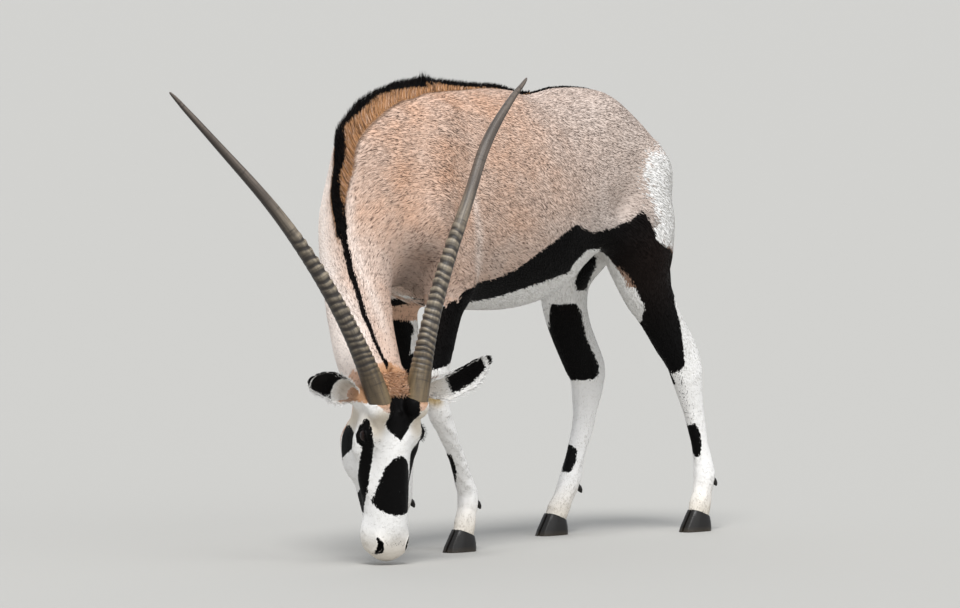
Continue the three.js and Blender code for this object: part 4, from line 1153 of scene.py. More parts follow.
@dataclass(frozen=True)
class ShortCoat:
    """Short, close-lying antelope hair: soft and matt, darker and a little glossy where black.

    Each tuft of hair is a real sliver of mesh about 14 mm long, and the skin under it shows
    the same colours with finer streaks between the tufts.
    """

    streak_mm: float = 4.0
    hair_mm: float = 1.2

    def material(self, name: str, tufted: bool) -> Finish:
        """Builds the coat's material.

        Args:
            name: the material's name.
            tufted: True for the tufts, False for the skin below them.

        Returns:
            The new material.
        """
        material, node = blank_material(name)
        marks = {mark: node("Attribute", {"attribute_name": mark.value}, out="Fac") for mark in Mark}
        place = node("TexCoord", out="Object")
        # broad, soft drifts of warmer and greyer hair, about 150 mm across
        drift = node("TexNoise", {"Scale": 7.0, "Detail": 3.0, "Roughness": 0.55}, {"Vector": place})
        # streaks run back and down along the lie, about 4 mm wide and four times as long
        lie = node("Mapping", {"Rotation": (math.radians(28), 0, 0), "Scale": (1.0, 0.22, 1.0)},
            {"Vector": place},
        )
        streak = node("TexNoise", {"Scale": 1000.0 / self.streak_mm / 2, "Detail": 2.0, "Roughness": 0.6},
            {"Vector": lie},
        )
        hair = node("TexNoise", {"Scale": 1000.0 / self.hair_mm / 2, "Detail": 1.0}, {"Vector": lie})
        if tufted:
            tint = node("Attribute", {"attribute_name": "tint"}, out="Fac")
            rise = node("Attribute", {"attribute_name": "rise"}, out="Fac")
        else:
            tint = streak
            rise = hair
        warm = node("MapRange", {"From Min": 0.38, "From Max": 0.62}, {"Value": drift})
        colour = node(
            "Mix", {"data_type": "RGBA", 6: linear(Tone.FAWN), 7: linear(Tone.FAWN_WARM)}, {0: warm}, out=2
        )
        for mark, tone in ((Mark.GREY, Tone.HIP), (Mark.CREAM, Tone.PALE_NECK)):
            colour = node("Mix", {"data_type": "RGBA", 7: linear(tone)}, {0: marks[mark], 6: colour}, out=2)
        # one tuft in five is dark towards its tip, which gives the flecks
        dark_hair = node("MapRange",
            {
                "From Min": 0.76 if tufted else 0.5, "From Max": 0.88 if tufted else 0.66,
                "To Max": 0.8 if tufted else 0.5,
            },
            {"Value": tint},
        )
        tipped = node("MapRange", {"From Min": 0.0, "From Max": 0.55, "To Min": 0.25}, {"Value": rise})
        fleck = node("Math", {"operation": "MULTIPLY"}, {0: dark_hair, 1: tipped})
        paler = node("MapRange", {"To Min": 1.0, "To Max": 0.35}, {"Value": marks[Mark.CREAM]})
        fleck = node("Math", {"operation": "MULTIPLY"}, {0: fleck, 1: paler})
        colour = node("Mix", {"data_type": "RGBA", 7: linear(Tone.FLECK)}, {0: fleck, 6: colour}, out=2)
        # the brown field also holds painted shade in front of the elbows
        for mark, tone in ((Mark.RUST, Tone.RUST), (Mark.BROWN, Tone.BROWN)):
            colour = node("Mix", {"data_type": "RGBA", 7: linear(tone)}, {0: marks[mark], 6: colour}, out=2)
        white = node("Mix", {"data_type": "RGBA", 6: linear(Tone.WHITE_SHADE), 7: linear(Tone.WHITE)},
            {0: node("MapRange", {"From Min": 0.1, "From Max": 0.45}, {"Value": tint})}, out=2,
        )
        white = node("Mix", {"data_type": "RGBA", 7: linear(Tone.STAIN)}, {0: marks[Mark.STAIN], 6: white},
            out=2,
        )
        black = node("Mix", {"data_type": "RGBA", 6: linear(Tone.BLACK), 7: linear(Tone.BROWN_BLACK)},
            {0: marks[Mark.BROWN]}, out=2,
        )
        masks = {}
        for mark in (Mark.WHITE, Mark.BLACK):
            # the hairs of the two colours mix over some 6 mm at each edge
            ragged = node("Math", {"operation": "MULTIPLY_ADD", 1: 0.16, 2: -0.08},
                {0: tint if tufted else streak},
            )
            edge = node("Math", {"operation": "ADD"}, {0: marks[mark], 1: ragged})
            masks[mark] = node("MapRange",
                {"interpolation_type": "SMOOTHSTEP", "From Min": 0.482, "From Max": 0.518}, {"Value": edge},
            )
        colour = node("Mix", {"data_type": "RGBA"}, {0: masks[Mark.WHITE], 6: colour, 7: white}, out=2)
        colour = node("Mix", {"data_type": "RGBA"}, {0: masks[Mark.BLACK], 6: colour, 7: black}, out=2)
        rough = node("MapRange", {"To Min": 0.78, "To Max": 0.55}, {"Value": masks[Mark.BLACK]})
        bump = node("Bump", {"Strength": 0.25 if tufted else 0.6, "Distance": 0.0012},
            {"Height": hair if tufted else streak},
        )
        surface = node("BsdfPrincipled", {"IOR": 1.5, "Specular IOR Level": 0.07},
            {"Base Color": colour, "Roughness": rough, "Normal": bump},
        )
        node("OutputMaterial", None, {"Surface": surface})
        return material


@dataclass
class Hide:
    """The skin: one closed surface over trunk, neck, head, ears, legs and the root of the tail."""

    place: Placement
    head: HeadFrame
    eye: EyeSize
    spine: SpineLine
    limbs: Limbs
    voxel: float = 0.0037
    coarse: float = 0.012
    overlap: float = 0.0006
    faces: int = 150000
    horn_sockets: tuple = ((8.0, -3.0, 50.0, 35.0), (40.0, -24.0, 46.0, 29.0))
    dock: tuple = (
        (-4, 606, 975, 15), (-4, 614, 955, 14.5), (-4, 626, 920, 13.5), (-3, 632, 860, 12),
        (0, 628, 780, 11), (2, 620, 700, 11), (0, 620, 640, 10), (0, 630, 585, 7), (2, 640, 555, 2),
    )

    def gather(self) -> None:
        """Copies the flesh solids, works out the crest's places and remembers which part lies where."""
        self.solids = {name: copied_solid(name, self.overlap) for name in FLESH}
        places, faces, owner = [], [], []
        count = 0
        for number, name in enumerate(FLESH):
            points, triangles = self.solids[name]
            places.append(points)
            faces.append(triangles + count)
            owner.append(np.full(len(triangles), number))
            count += len(points)
        self.cad_points = np.concatenate(places)
        self.cad_faces = np.concatenate(faces)
        self.cad_owner = np.concatenate(owner)
        self.tree = BVHTree.FromPolygons(
            [tuple(p) for p in self.cad_points], [tuple(int(v) for v in f) for f in self.cad_faces]
        )
        self.spine.lay(self.tree, self.place)

    def _without_mane(self, name: str, points: Array) -> Array:
        """Lays the locks of the crest and the curls of the poll down to the skin.

        Args:
            name: the solid.
            points: its places in the frame's metres.

        Returns:
            The places with the hair laid flat.
        """
        animal = self.place.animal(points)
        if name in ("torso", "neck"):
            along, aside, rise = self.spine.beside_crest(animal)
            limit = -0.006 * aside**2
            near = (np.abs(aside) < 21) & (rise > limit) & (rise < 90)
            lift = np.where(near, limit - rise, 0)
            _, _, up, _ = self.spine.at(along)
            animal = animal + up * lift[:, None]
        if name == "head":
            local = self.head.inward(animal)
            a, b, c = local.T
            skull = np.interp(a, [-70, -46, 0, 25], [-48, -34, -12, -8]) - c**2 / 160
            horn = -20 + np.sqrt(np.clip(33**2 - (np.abs(c) - 52) ** 2, 0, None))
            limit = np.maximum(skull, np.where(np.abs(np.abs(c) - 52) < 33, horn - 4, -99)) + 3
            near = (a > -85) & (a < 22) & (np.abs(c) < 46) & (b > limit)
            local[:, 1] = np.where(near, limit, b)
            animal = self.head.outward(local)
        return self.place.row(animal)

    def _tube(self, stops: tuple, sides: int = 12) -> tuple[Array, Array]:
        """Makes a closed round tube.

        Args:
            stops: x, y, z and radius.
            sides: how many sides it has.

        Returns:
            Its places in metres and its triangles.
        """
        line = np.array(stops, float)
        run = unit(np.gradient(line[:, :3], axis=0))
        across = unit(np.cross(run, [1.0, 0.02, 0.03]))
        other = np.cross(run, across)
        turned = np.linspace(0, 2 * math.pi, sides, endpoint=False)
        ring = (
            line[:, None, :3]
            + line[:, None, 3:] * np.cos(turned)[None, :, None] * across[:, None, :]
            + line[:, None, 3:] * np.sin(turned)[None, :, None] * other[:, None, :]
        )
        points = ring.reshape(-1, 3)
        faces = []
        for i in range(len(line) - 1):
            for k in range(sides):
                p, q = i * sides + k, i * sides + (k + 1) % sides
                faces += [(p, p + sides, q + sides), (p, q + sides, q)]
        for end, order in ((0, 1), (len(line) - 1, -1)):
            base = end * sides
            for k in range(1, sides - 1):
                faces.append((base, base + k, base + k + 1)[::order])
        return self.place.row(points), np.array(faces)

    def _filling(self) -> list[tuple[Array, Array]]:
        """Makes what closes the sockets of the eyes, horns and claws, and the root of the tail.

        Returns:
            Places in metres and triangles of each part.
        """
        parts = [self._tube(self.dock)]
        eye = (self.eye.a, self.eye.b, self.eye.c, self.eye.radius + 2.2)
        for side in (1, -1):
            for a, b, c, radius in (eye, *self.horn_sockets):
                centre = np.array([a, b, side * c])
                at = self.place.row(self.head.outward(centre[None, :]))[0]
                bpy.ops.mesh.primitive_ico_sphere_add(
                    subdivisions=3, radius=radius * 0.001, location=tuple(at)
                )
                ball = bpy.context.active_object
                bpy.ops.object.transform_apply(location=True, rotation=True, scale=True)
                parts.append((points_of(ball), triangles_of(ball)))
                bpy.data.objects.remove(ball)
        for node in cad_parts:
            if "hoof" in node:
                parts.append(copied_solid(node, -0.0025))
        return parts

    def build(self) -> Piece:
        """Makes the skin from the flesh solids.

        Returns:
            The skin's object.
        """
        places, faces = [], []
        count = 0
        for name in FLESH:
            points, triangles = self.solids[name]
            places.append(self._without_mane(name, points))
            faces.append(triangles + count)
            count += len(points)
        for points, triangles in self._filling():
            places.append(points)
            faces.append(triangles + count)
            count += len(points)
        skin = mesh_object("hide", np.concatenate(places), np.concatenate(faces))
        broad = skin.copy()
        broad.data = skin.data.copy()
        bpy.context.scene.collection.objects.link(broad)
        apply_modifier(broad, "REMESH", mode="VOXEL", voxel_size=self.coarse)
        apply_modifier(broad, "SMOOTH", factor=0.5, iterations=9)
        apply_modifier(broad, "SUBSURF", levels=1, render_levels=1)
        apply_modifier(skin, "REMESH", mode="VOXEL", voxel_size=self.voxel)
        self._weigh(skin, "broad", self._broadness(skin))
        apply_modifier(
            skin, "SHRINKWRAP", target=broad, wrap_method="NEAREST_SURFACEPOINT", vertex_group="broad"
        )
        bpy.data.objects.remove(broad)
        self._weigh(skin, "fine", 1 - 0.8 * self._headness(skin))
        apply_modifier(skin, "SMOOTH", factor=0.5, iterations=10, vertex_group="fine")
        apply_modifier(skin, "SMOOTH", factor=0.5, iterations=2)
        set_points(skin, points_of(skin) - normals_of(skin) * self._depth(skin)[:, None])
        share = self.faces / max(len(triangles_of(skin)), 1)
        apply_modifier(skin, "DECIMATE", ratio=min(1.0, share), use_collapse_triangulate=True)
        skin.vertex_groups.clear()
        self._refine(skin)
        self._open_face(skin)
        only(skin)
        bpy.ops.object.shade_smooth()
        self.skin = skin
        self.skin_tree = BVHTree.FromPolygons(
            [tuple(v) for v in points_of(skin)], [tuple(int(i) for i in f) for f in triangles_of(skin)]
        )
        self.region = self.region_at(points_of(skin))
        self.limbs.measure(self.place.animal(points_of(skin)), self.region)
        return skin

    def _weigh(self, piece: Piece, name: str, weights: Array) -> None:
        """Stores weights as a vertex group, in eighths.

        Args:
            piece: the object.
            name: the group's name.
            weights: one number from 0 to 1 per vertex.
        """
        group = piece.vertex_groups.new(name=name)
        eighths = np.round(weights * 8).astype(int)
        for level in range(1, 9):
            chosen = np.nonzero(eighths == level)[0]
            if len(chosen):
                group.add(chosen.tolist(), level / 8, "REPLACE")

    def _headness(self, piece: Piece) -> Array:
        """Tells how far each place belongs to the head, from 0 to 1.

        Args:
            piece: the skin.

        Returns:
            One number per vertex.
        """
        local = self.head.inward(self.place.animal(points_of(piece)))
        near = np.linalg.norm(local * [0.45, 0.9, 0.65] - [40, -60, 0], axis=1)
        return (1 - smooth(near, 110, 150)) * smooth(local[:, 0], -75, -30)

    def _near_head(self, local: Array, z: Array) -> Array:
        """Tells which places lie round the head, and not on the breast or legs behind it."""
        return (np.linalg.norm(local - [60, -60, 0], axis=1) < 330) & (z < 640)

    def _broadness(self, piece: Piece) -> Array:
        """Tells where the skin takes the broad, smooth form, from 0 to 1.

        Args:
            piece: the skin.

        Returns:
            One number per vertex.
        """
        animal = self.place.animal(points_of(piece))
        local = self.head.inward(animal)
        low = smooth(animal[:, 2], 420, 600)
        back_of_head = smooth(local[:, 0], -170, -70) * (1 - smooth(np.abs(animal[:, 1] + 737), 330, 420))
        near_head = self._near_head(local, animal[:, 2])
        tail = (animal[:, 1] > 560) & (np.abs(animal[:, 0]) < 40)
        weight = np.where(near_head, 1 - smooth(local[:, 0], -170, -90), low)
        weight = np.where(tail, 0, weight)
        return np.where(near_head & (back_of_head > 0.99), 0, weight)

    def _depth(self, piece: Piece) -> Array:
        """Tells how deep the skin lies under the tips of its coat, in metres.

        Args:
            piece: the skin.

        Returns:
            One number per vertex.
        """
        animal = self.place.animal(points_of(piece))
        local = self.head.inward(animal)
        body = smooth(animal[:, 2], 380, 700)
        near_head = self._near_head(local, animal[:, 2])
        body = np.where(near_head, 1 - smooth(local[:, 0], -160, -60), body)
        ears = (np.abs(local[:, 2]) > 105) & near_head
        return np.where(ears, 0.0004, 0.001 + 0.0022 * body)

    def region_at(self, points: Array) -> Array:
        """Finds which part of the body places belong to.

        Args:
            points: places in the frame's metres.

        Returns:
            The number of each one's part in the list of flesh parts.
        """
        found = np.empty(len(points), int)
        owner = self.cad_owner
        for i, point in enumerate(points):
            hit = self.tree.find_nearest(point)
            found[i] = owner[hit[2]] if hit[2] is not None else 0
        return found

    def _refine(self, skin: Piece) -> None:
        """Gives the eyes, nostrils and lips a finer mesh.

        Args:
            skin: the skin.
        """
        for reach in (1.0, 0.78):
            local = self.head.inward(self.place.animal(points_of(skin)))
            chosen = np.zeros(len(local), bool)
            for side in (1, -1):
                chosen |= np.linalg.norm(local - self.eye.centre(side), axis=1) < 33 * reach
                slot, _ = nostril_reach(local, side)
                chosen |= slot < 12 * reach
            mouth = np.abs(local[:, 1] - mouth_height(local[:, 0])) < 7 * reach
            chosen |= mouth & (local[:, 0] > 262)
            edges = np.empty(len(skin.data.edges) * 2, np.int32)
            skin.data.edges.foreach_get("vertices", edges)
            pairs = edges.reshape(-1, 2)
            picked = chosen[pairs].all(axis=1)
            only(skin)
            bpy.ops.object.mode_set(mode="EDIT")
            bpy.ops.mesh.select_mode(type="EDGE")
            bpy.ops.mesh.select_all(action="DESELECT")
            bpy.ops.object.mode_set(mode="OBJECT")
            skin.data.vertices.foreach_set("select", np.zeros(len(local), bool))
            skin.data.edges.foreach_set("select", picked)
            bpy.ops.object.mode_set(mode="EDIT")
            bpy.ops.mesh.subdivide(number_cuts=1, smoothness=0.0)
            bpy.ops.object.mode_set(mode="OBJECT")

    def _open_face(self, skin: Piece) -> None:
        """Shapes the lids, the nostrils and the line of the mouth in the skin.

        Args:
            skin: the skin.
        """
        local = self.head.inward(self.place.animal(points_of(skin)))
        normals = normals_of(skin) @ self.head.axes().T
        for side in (1, -1):
            centre = self.eye.centre(side)
            away = local - centre
            reach = np.linalg.norm(away, axis=1)
            near = (reach < 36) & (away[:, 2] * side > 2)
            gap = self.eye.opening(local, side)
            lid = self.eye.radius
            target = np.interp(
                gap, [-3.0, -1.6, 0.4, 2.0, 5.0, 8.0],
                [lid - 5, lid - 4, lid + 1.6, lid + 3.2, lid + 3.4, lid + 1.4],
            )
            keep = smooth(gap, 5.0, 12.0)
            wanted = target + (reach - target) * keep
            local = np.where(near[:, None], centre + away / reach[:, None] * wanted[:, None], local)
        for side in (1, -1):
            slot, inward = nostril_reach(local, side)
            near = slot < 12
            sink = 9.0 * (1 - smooth(slot, -3.2, 0.6))
            swell = 1.6 * np.exp(-(((slot - 3.0) / 2.6) ** 2))
            moved = local + inward * sink[:, None] + normals * swell[:, None]
            local = np.where(near[:, None], moved, local)
        gap = np.abs(local[:, 1] - mouth_height(local[:, 0]))
        fade = smooth(local[:, 0], 268, 284)
        groove = 3.2 * np.exp(-((gap / 1.7) ** 2)) * fade
        lips = 1.2 * np.exp(-(((gap - 6.0) / 3.0) ** 2)) * fade
        low = (local[:, 0] > 262) & (gap < 14)
        local = np.where(low[:, None], local + normals * (lips - groove)[:, None], local)
        near_face = np.linalg.norm(local - [180, -60, 0], axis=1) < 330
        points = points_of(skin)
        moved = self.place.row(self.head.outward(local))
        set_points(skin, np.where(near_face[:, None], moved, points))

    def mark(self, markings: Markings) -> None:
        """Stores the markings on the skin.

        Args:
            markings: the animal's markings.
        """
        animal = self.place.animal(points_of(self.skin))
        for mark, values in markings.read(animal, self.region, normals_of(self.skin)).items():
            put_attribute(self.skin, mark.value, values)


def blades(
    root: Array, way: Array, flat: Array, size: Array, bend: Array, rows: list
) -> tuple[Array, Array, Array]:
    """Makes closed, flat, tapering blades of hair.

    Args:
        root: where each blade grows.
        way: the unit way it sets out.
        flat: the unit way across its thin side.
        size: length, width and thickness of each.
        bend: how far its tip is carried off its first way.
        rows: share of the length, of the width and of the thickness at each cross-section.

    Returns:
        Places by blade and vertex, triangles of one blade, and each vertex's share of the length.
    """
    side = unit(np.cross(way, flat))
    length, width, thick = (size[:, k, None] for k in range(3))
    places, shares = [], []
    for share, wide, deep in rows:
        at = root + way * length * share + bend * share * abs(share)
        places.append(at - side * width * wide / 2)
        places.append(at + side * width * wide / 2)
        places.append(at + flat * thick * deep)
        shares += [share] * 3
    places.append(root + way * length + bend)
    shares.append(1.0)
    faces = [(0, 1, 2)]
    for k in range(len(rows) - 1):
        for p, q in ((0, 1), (1, 2), (2, 0)):
            low, high = 3 * k, 3 * k + 3
            faces += [(low + p, high + p, high + q), (low + p, high + q, low + q)]
    last = 3 * (len(rows) - 1)
    tip = last + 3
    faces += [(last, tip, last + 1), (last + 1, tip, last + 2), (last + 2, tip, last)]
    table = np.array(faces)
    stacked = np.stack(places, axis=1)
    corner = stacked[0][table]
    volume = np.einsum("ij,ij->i", corner[:, 0], np.cross(corner[:, 1], corner[:, 2])).sum()
    if volume < 0:
        table = table[:, ::-1]
    return stacked, table, np.array(shares)


@dataclass
class Unwrap:
    """An unwrap of the skin's own shape, for the places of the tufts on their colour map."""

    faces: int = 14000
    patch: float = 0.003

    def lay(self, skin: Piece) -> None:
        """Unwraps a light copy of the skin.

        Args:
            skin: the finished skin.
        """
        light = skin.copy()
        light.data = skin.data.copy()
        bpy.context.scene.collection.objects.link(light)
        share = self.faces / max(len(triangles_of(light)), 1)
        apply_modifier(light, "DECIMATE", ratio=min(1.0, share), use_collapse_triangulate=True)
        only(light)
        bpy.ops.object.mode_set(mode="EDIT")
        bpy.ops.mesh.select_all(action="SELECT")
        bpy.ops.uv.smart_project(angle_limit=math.radians(66), island_margin=0.001)
        bpy.ops.object.mode_set(mode="OBJECT")
        self.points = points_of(light)
        self.corners = triangles_of(light)
        loops = np.empty(len(light.data.loop_triangles) * 3, np.int32)
        light.data.loop_triangles.foreach_get("loops", loops)
        flat = np.empty(len(light.data.loops) * 2, np.float32)
        light.data.uv_layers.active.data.foreach_get("uv", flat)
        self.map = flat.reshape(-1, 2)[loops].reshape(-1, 3, 2)
        self.tree = BVHTree.FromPolygons(
            [tuple(v) for v in self.points], [tuple(int(i) for i in f) for f in self.corners]
        )
        bpy.data.objects.remove(light)

    def place(self, roots: Array) -> Array:
        """Finds where roots lie on the unwrap.

        Args:
            roots: places in the frame's metres.

        Returns:
            Two map coordinates for each.
        """
        nearest = np.empty(len(roots), int)
        spots = np.empty((len(roots), 3))
        for i, root in enumerate(roots):
            hit = self.tree.find_nearest(root)
            nearest[i] = hit[2]
            spots[i] = hit[0]
        a, b, c = (self.points[self.corners[nearest, k]] for k in range(3))
        whole = np.linalg.norm(np.cross(b - a, c - a), axis=1) + 1e-12
        share_a = np.linalg.norm(np.cross(b - spots, c - spots), axis=1) / whole
        share_b = np.linalg.norm(np.cross(c - spots, a - spots), axis=1) / whole
        share = np.stack([share_a, share_b, np.clip(1 - share_a - share_b, 0, 1)], axis=1)
        return np.einsum("nk,nkj->nj", share, self.map[nearest])


@dataclass
class HairPiece:
    """Joins many blades into one piece with its markings and its colour map."""

    unwrap: Unwrap
    place: Placement

    def join(
        self, name: str, places: Array, faces: Array, shares: Array,
        fields: dict[str, Array], material: Finish,
    ) -> Piece:
        """Makes one mesh of all the blades.

        Args:
            name: the piece's name.
            places: places by blade and vertex.
            faces: the triangles of one blade.
            shares: each vertex's share of the blade's length.
            fields: values by blade, or by blade and vertex.
            material: the coat's material.

        Returns:
            The finished piece.
        """
        count, each = places.shape[:2]
        rows = self.place.row(places.reshape(-1, 3))
        table = (faces[None, :, :] + (np.arange(count) * each)[:, None, None]).reshape(-1, 3)
        piece = mesh_object(name, rows, table)
        piece.data.polygons.foreach_set("use_smooth", np.ones(len(table), bool))
        for key, values in fields.items():
            whole = values if values.ndim == 2 else np.repeat(values[:, None], each, axis=1)
            put_attribute(piece, key, whole.reshape(-1))
        put_attribute(piece, "rise", np.tile(np.clip(shares, 0, 1), count))
        spot = self.unwrap.place(rows.reshape(count, each, 3)[:, 0, :])
        across = np.tile([-0.5, 0.5, 0.0], each // 3 + 1)[:each]
        across[-1] = 0.0
        patch = np.stack([across, np.clip(shares, 0, 1) - 0.5], axis=1) * self.unwrap.patch
        chart = np.clip(spot[:, None, :] + patch[None, :, :], 0.0005, 0.9995).reshape(-1, 2)
        layer = piece.data.uv_layers.new(name="OFBake")
        layer.data.foreach_set("uv", chart[table.reshape(-1)].astype(np.float32).ravel())
        dress(piece, material)
        return piece


@dataclass(frozen=True)
class TuftSize:
    """Sizes of the tufts on one part of the body, in millimetres."""

    length: float
    width: float
    thick: float
    lift: float
    spacing: float


@dataclass
class Coat:
    """Short tufts all over the skin, lying back and down, smallest on the face and feet."""

    hide: Hide
    markings: Markings
    maker: HairPiece
    most: int = 19000
    seed: int = 7
    body: TuftSize = TuftSize(14.0, 2.2, 0.45, 1.5, 5.1)
    thigh: TuftSize = TuftSize(11.5, 2.2, 0.45, 1.2, 4.8)
    shin: TuftSize = TuftSize(7.5, 2.0, 0.35, 0.5, 4.3)
    face: TuftSize = TuftSize(6.0, 1.7, 0.3, 0.5, 3.6)
    ear: TuftSize = TuftSize(8.0, 1.8, 0.45, 1.1, 3.6)

    def sizes(self, animal: Array, region: Array) -> Array:
        """Finds the tufts' sizes at some places.

        Args:
            animal: places.
            region: part numbers.

        Returns:
            Length, width, thickness, lift and spacing.
        """
        kinds = (self.body, self.thigh, self.shin, self.face, self.ear)
        body, thigh, shin, face, ear = (
            np.array([s.length, s.width, s.thick, s.lift, s.spacing]) for s in kinds
        )
        found = np.tile(body, (len(animal), 1))
        on_leg = on_part(region, *LEGS)
        low = smooth(animal[:, 2], 640, 330)[:, None]
        leg = thigh + (shin - thigh) * low
        found = np.where(on_leg[:, None], leg, found)
        found = np.where(on_part(region, "head")[:, None], face, found)
        on_ear = on_part(region, "ear_left", "ear_right")
        found = np.where(on_ear[:, None], ear, found)
        local = self.hide.head.inward(animal)
        near = smooth(local[:, 0], -260, -60)[:, None]
        on_neck = on_part(region, "neck")
        return np.where(on_neck[:, None], body + (face * 1.4 - body) * near, found)

    def lie(self, animal: Array, region: Array, normals: Array) -> Array:
        """Finds which way the coat lies.

        Args:
            animal: places.
            region: part numbers.
            normals: the skin's outward ways.

        Returns:
            Unit ways along the skin.
        """
        spine = self.hide.spine
        near, _, _ = spine.section(animal)
        y, z = animal[:, 1], animal[:, 2]
        drop = 0.42 + 0.28 * smooth(y, -300, 0)
        way = spine.along[near] * 0.9 - spine.face[near] * drop[:, None]
        haunch = smooth(z, 900, 650) * smooth(y, 230, 330)
        down = np.where(on_part(region, *LEGS), smooth(z, 900, 560), haunch)
        way = unit(way) * (1 - down)[:, None] + np.array([0.0, 0.12, -1.0]) * down[:, None]
        head = self.hide.head
        local = head.inward(animal)
        whorl = unit(local - np.array([18.0, -30.0, 0.0])) @ head.axes()
        way = np.where(on_part(region, "head")[:, None], whorl, way)
        for name, ear in self.markings.ears.items():
            way[on_part(region, name)] = ear.ways()[1] @ head.axes()
        sway = 0.1 * np.sin(animal[:, 0] / 47 + y / 61) + 0.08 * np.sin(z / 39 - y / 83)
        way = way + np.cross(normals, way) * sway[:, None]
        return across_way(way, normals)

    def roots(self) -> tuple[Array, Array, Array, Array]:
        """Spreads roots evenly over the skin.

        Returns:
            Places, outward ways, part numbers and tuft sizes.
        """
        skin = self.hide.skin
        random = np.random.default_rng(self.seed)
        points = self.hide.place.animal(points_of(skin))
        faces = triangles_of(skin)
        outward = normals_of(skin)
        corner = points[faces]
        area = np.linalg.norm(
            np.cross(corner[:, 1] - corner[:, 0], corner[:, 2] - corner[:, 0]), axis=1
        ) / 2
        region = self.hide.region[faces[:, 0]]
        sizes = self.sizes(corner.mean(axis=1), region)
        weight = area / sizes[:, 4] ** 2
        count = int(weight.sum() * 1.9)
        chosen = random.choice(len(faces), size=count, p=weight / weight.sum())
        first, second = random.random(count), random.random(count)
        over = first + second > 1
        first, second = np.where(over, 1 - first, first), np.where(over, 1 - second, second)
        share = np.stack([1 - first - second, first, second], axis=1)
        places = np.einsum("nk,nkj->nj", share, corner[chosen])
        ways = unit(np.einsum("nk,nkj->nj", share, outward[faces[chosen]]))
        cell = np.floor(places / (sizes[chosen, 4:5] * 0.93)).astype(np.int64)
        key = (cell[:, 0] * 4001 + cell[:, 1]) * 4001 + cell[:, 2]
        _, keep = np.unique(key, return_index=True)
        keep.sort()
        places, ways, chosen = places[keep], ways[keep], chosen[keep]
        local = self.hide.head.inward(places)
        bare = places[:, 2] < 6
        for side in (1, -1):
            centre = self.hide.eye.centre(side)
            near = np.linalg.norm(local - centre, axis=1) < 34
            bare |= near & (self.hide.eye.opening(local, side) < 3.5)
            bare |= nostril_reach(local, side)[0] < 5
            away = local - np.array([-10.0, -4.0, side * 54.0])
            run = unit(np.array([-0.826, -0.251, 0.506 * side]))
            up = away @ run
            bare |= (np.linalg.norm(away - up[:, None] * run, axis=1) < 28.5) & (up > -4)
        bare |= (np.abs(local[:, 1] - mouth_height(local[:, 0])) < 3) & (local[:, 0] > 272)
        bare |= (local[:, 0] > 352) & (np.linalg.norm(local, axis=1) < 500)
        held = ~bare
        return places[held], ways[held], region[chosen][held], sizes[chosen][held]

    def build(self) -> list[Piece]:
        """Makes the coat's pieces.

        Returns:
            The pieces.
        """
        random = np.random.default_rng(self.seed + 1)
        animal, outward, region, sizes = self.roots()
        lie = self.lie(animal, region, outward)
        count = len(animal)
        turned = random.normal(0, 0.09, count)[:, None]
        lie = unit(lie + np.cross(outward, lie) * turned)
        grow = random.uniform(0.75, 1.25, (count, 1))
        lift = sizes[:, 3:4] * random.uniform(0.55, 1.25, (count, 1))
        length = sizes[:, 0:1] * grow
        steep = lift / length
        way = unit(lie + outward * steep * 1.9)
        bend = -outward * lift * 0.9
        root = animal - outward * 0.5
        size = np.concatenate([length, sizes[:, 1:3] * random.uniform(0.8, 1.2, (count, 1))], axis=1)
        flat = across_way(outward, way)
        rows = [(0.0, 0.55, 0.7), (0.5, 1.0, 1.0)]
        places, faces, shares = blades(root, way, flat, size, bend, rows)
        marks = self.markings.read(animal, region, outward)
        ends = self.markings.read(animal + lie * length * 0.8, region, outward)
        fields = {}
        for mark, values in marks.items():
            change = (ends[mark] - values)[:, None] * shares[None, :]
            fields[mark.value] = values[:, None] + change
        fields["tint"] = random.random(count)
        material = ShortCoat().material("short_coat_hair", True)
        groups = {
            "trunk": ("torso",), "neck": ("neck",), "head": ("head", "ear_left", "ear_right"),
            "forelegs": LEGS[:2], "hindlegs": LEGS[2:],
        }
        pieces = []
        for name, parts_on in groups.items():
            chosen = np.nonzero(on_part(region, *parts_on))[0]
            chosen = chosen[np.argsort(animal[chosen, 1], kind="stable")]
            parts = max(1, math.ceil(len(chosen) / self.most))
            for number, part in enumerate(np.array_split(chosen, parts)):
                piece = self.maker.join(
                    f"coat_{name}_{number + 1}", places[part], faces, shares,
                    {key: values[part] for key, values in fields.items()}, material,
                )
                pieces.append(piece)
        LOG.info("coat: %d tufts in %d pieces", count, len(pieces))
        return pieces


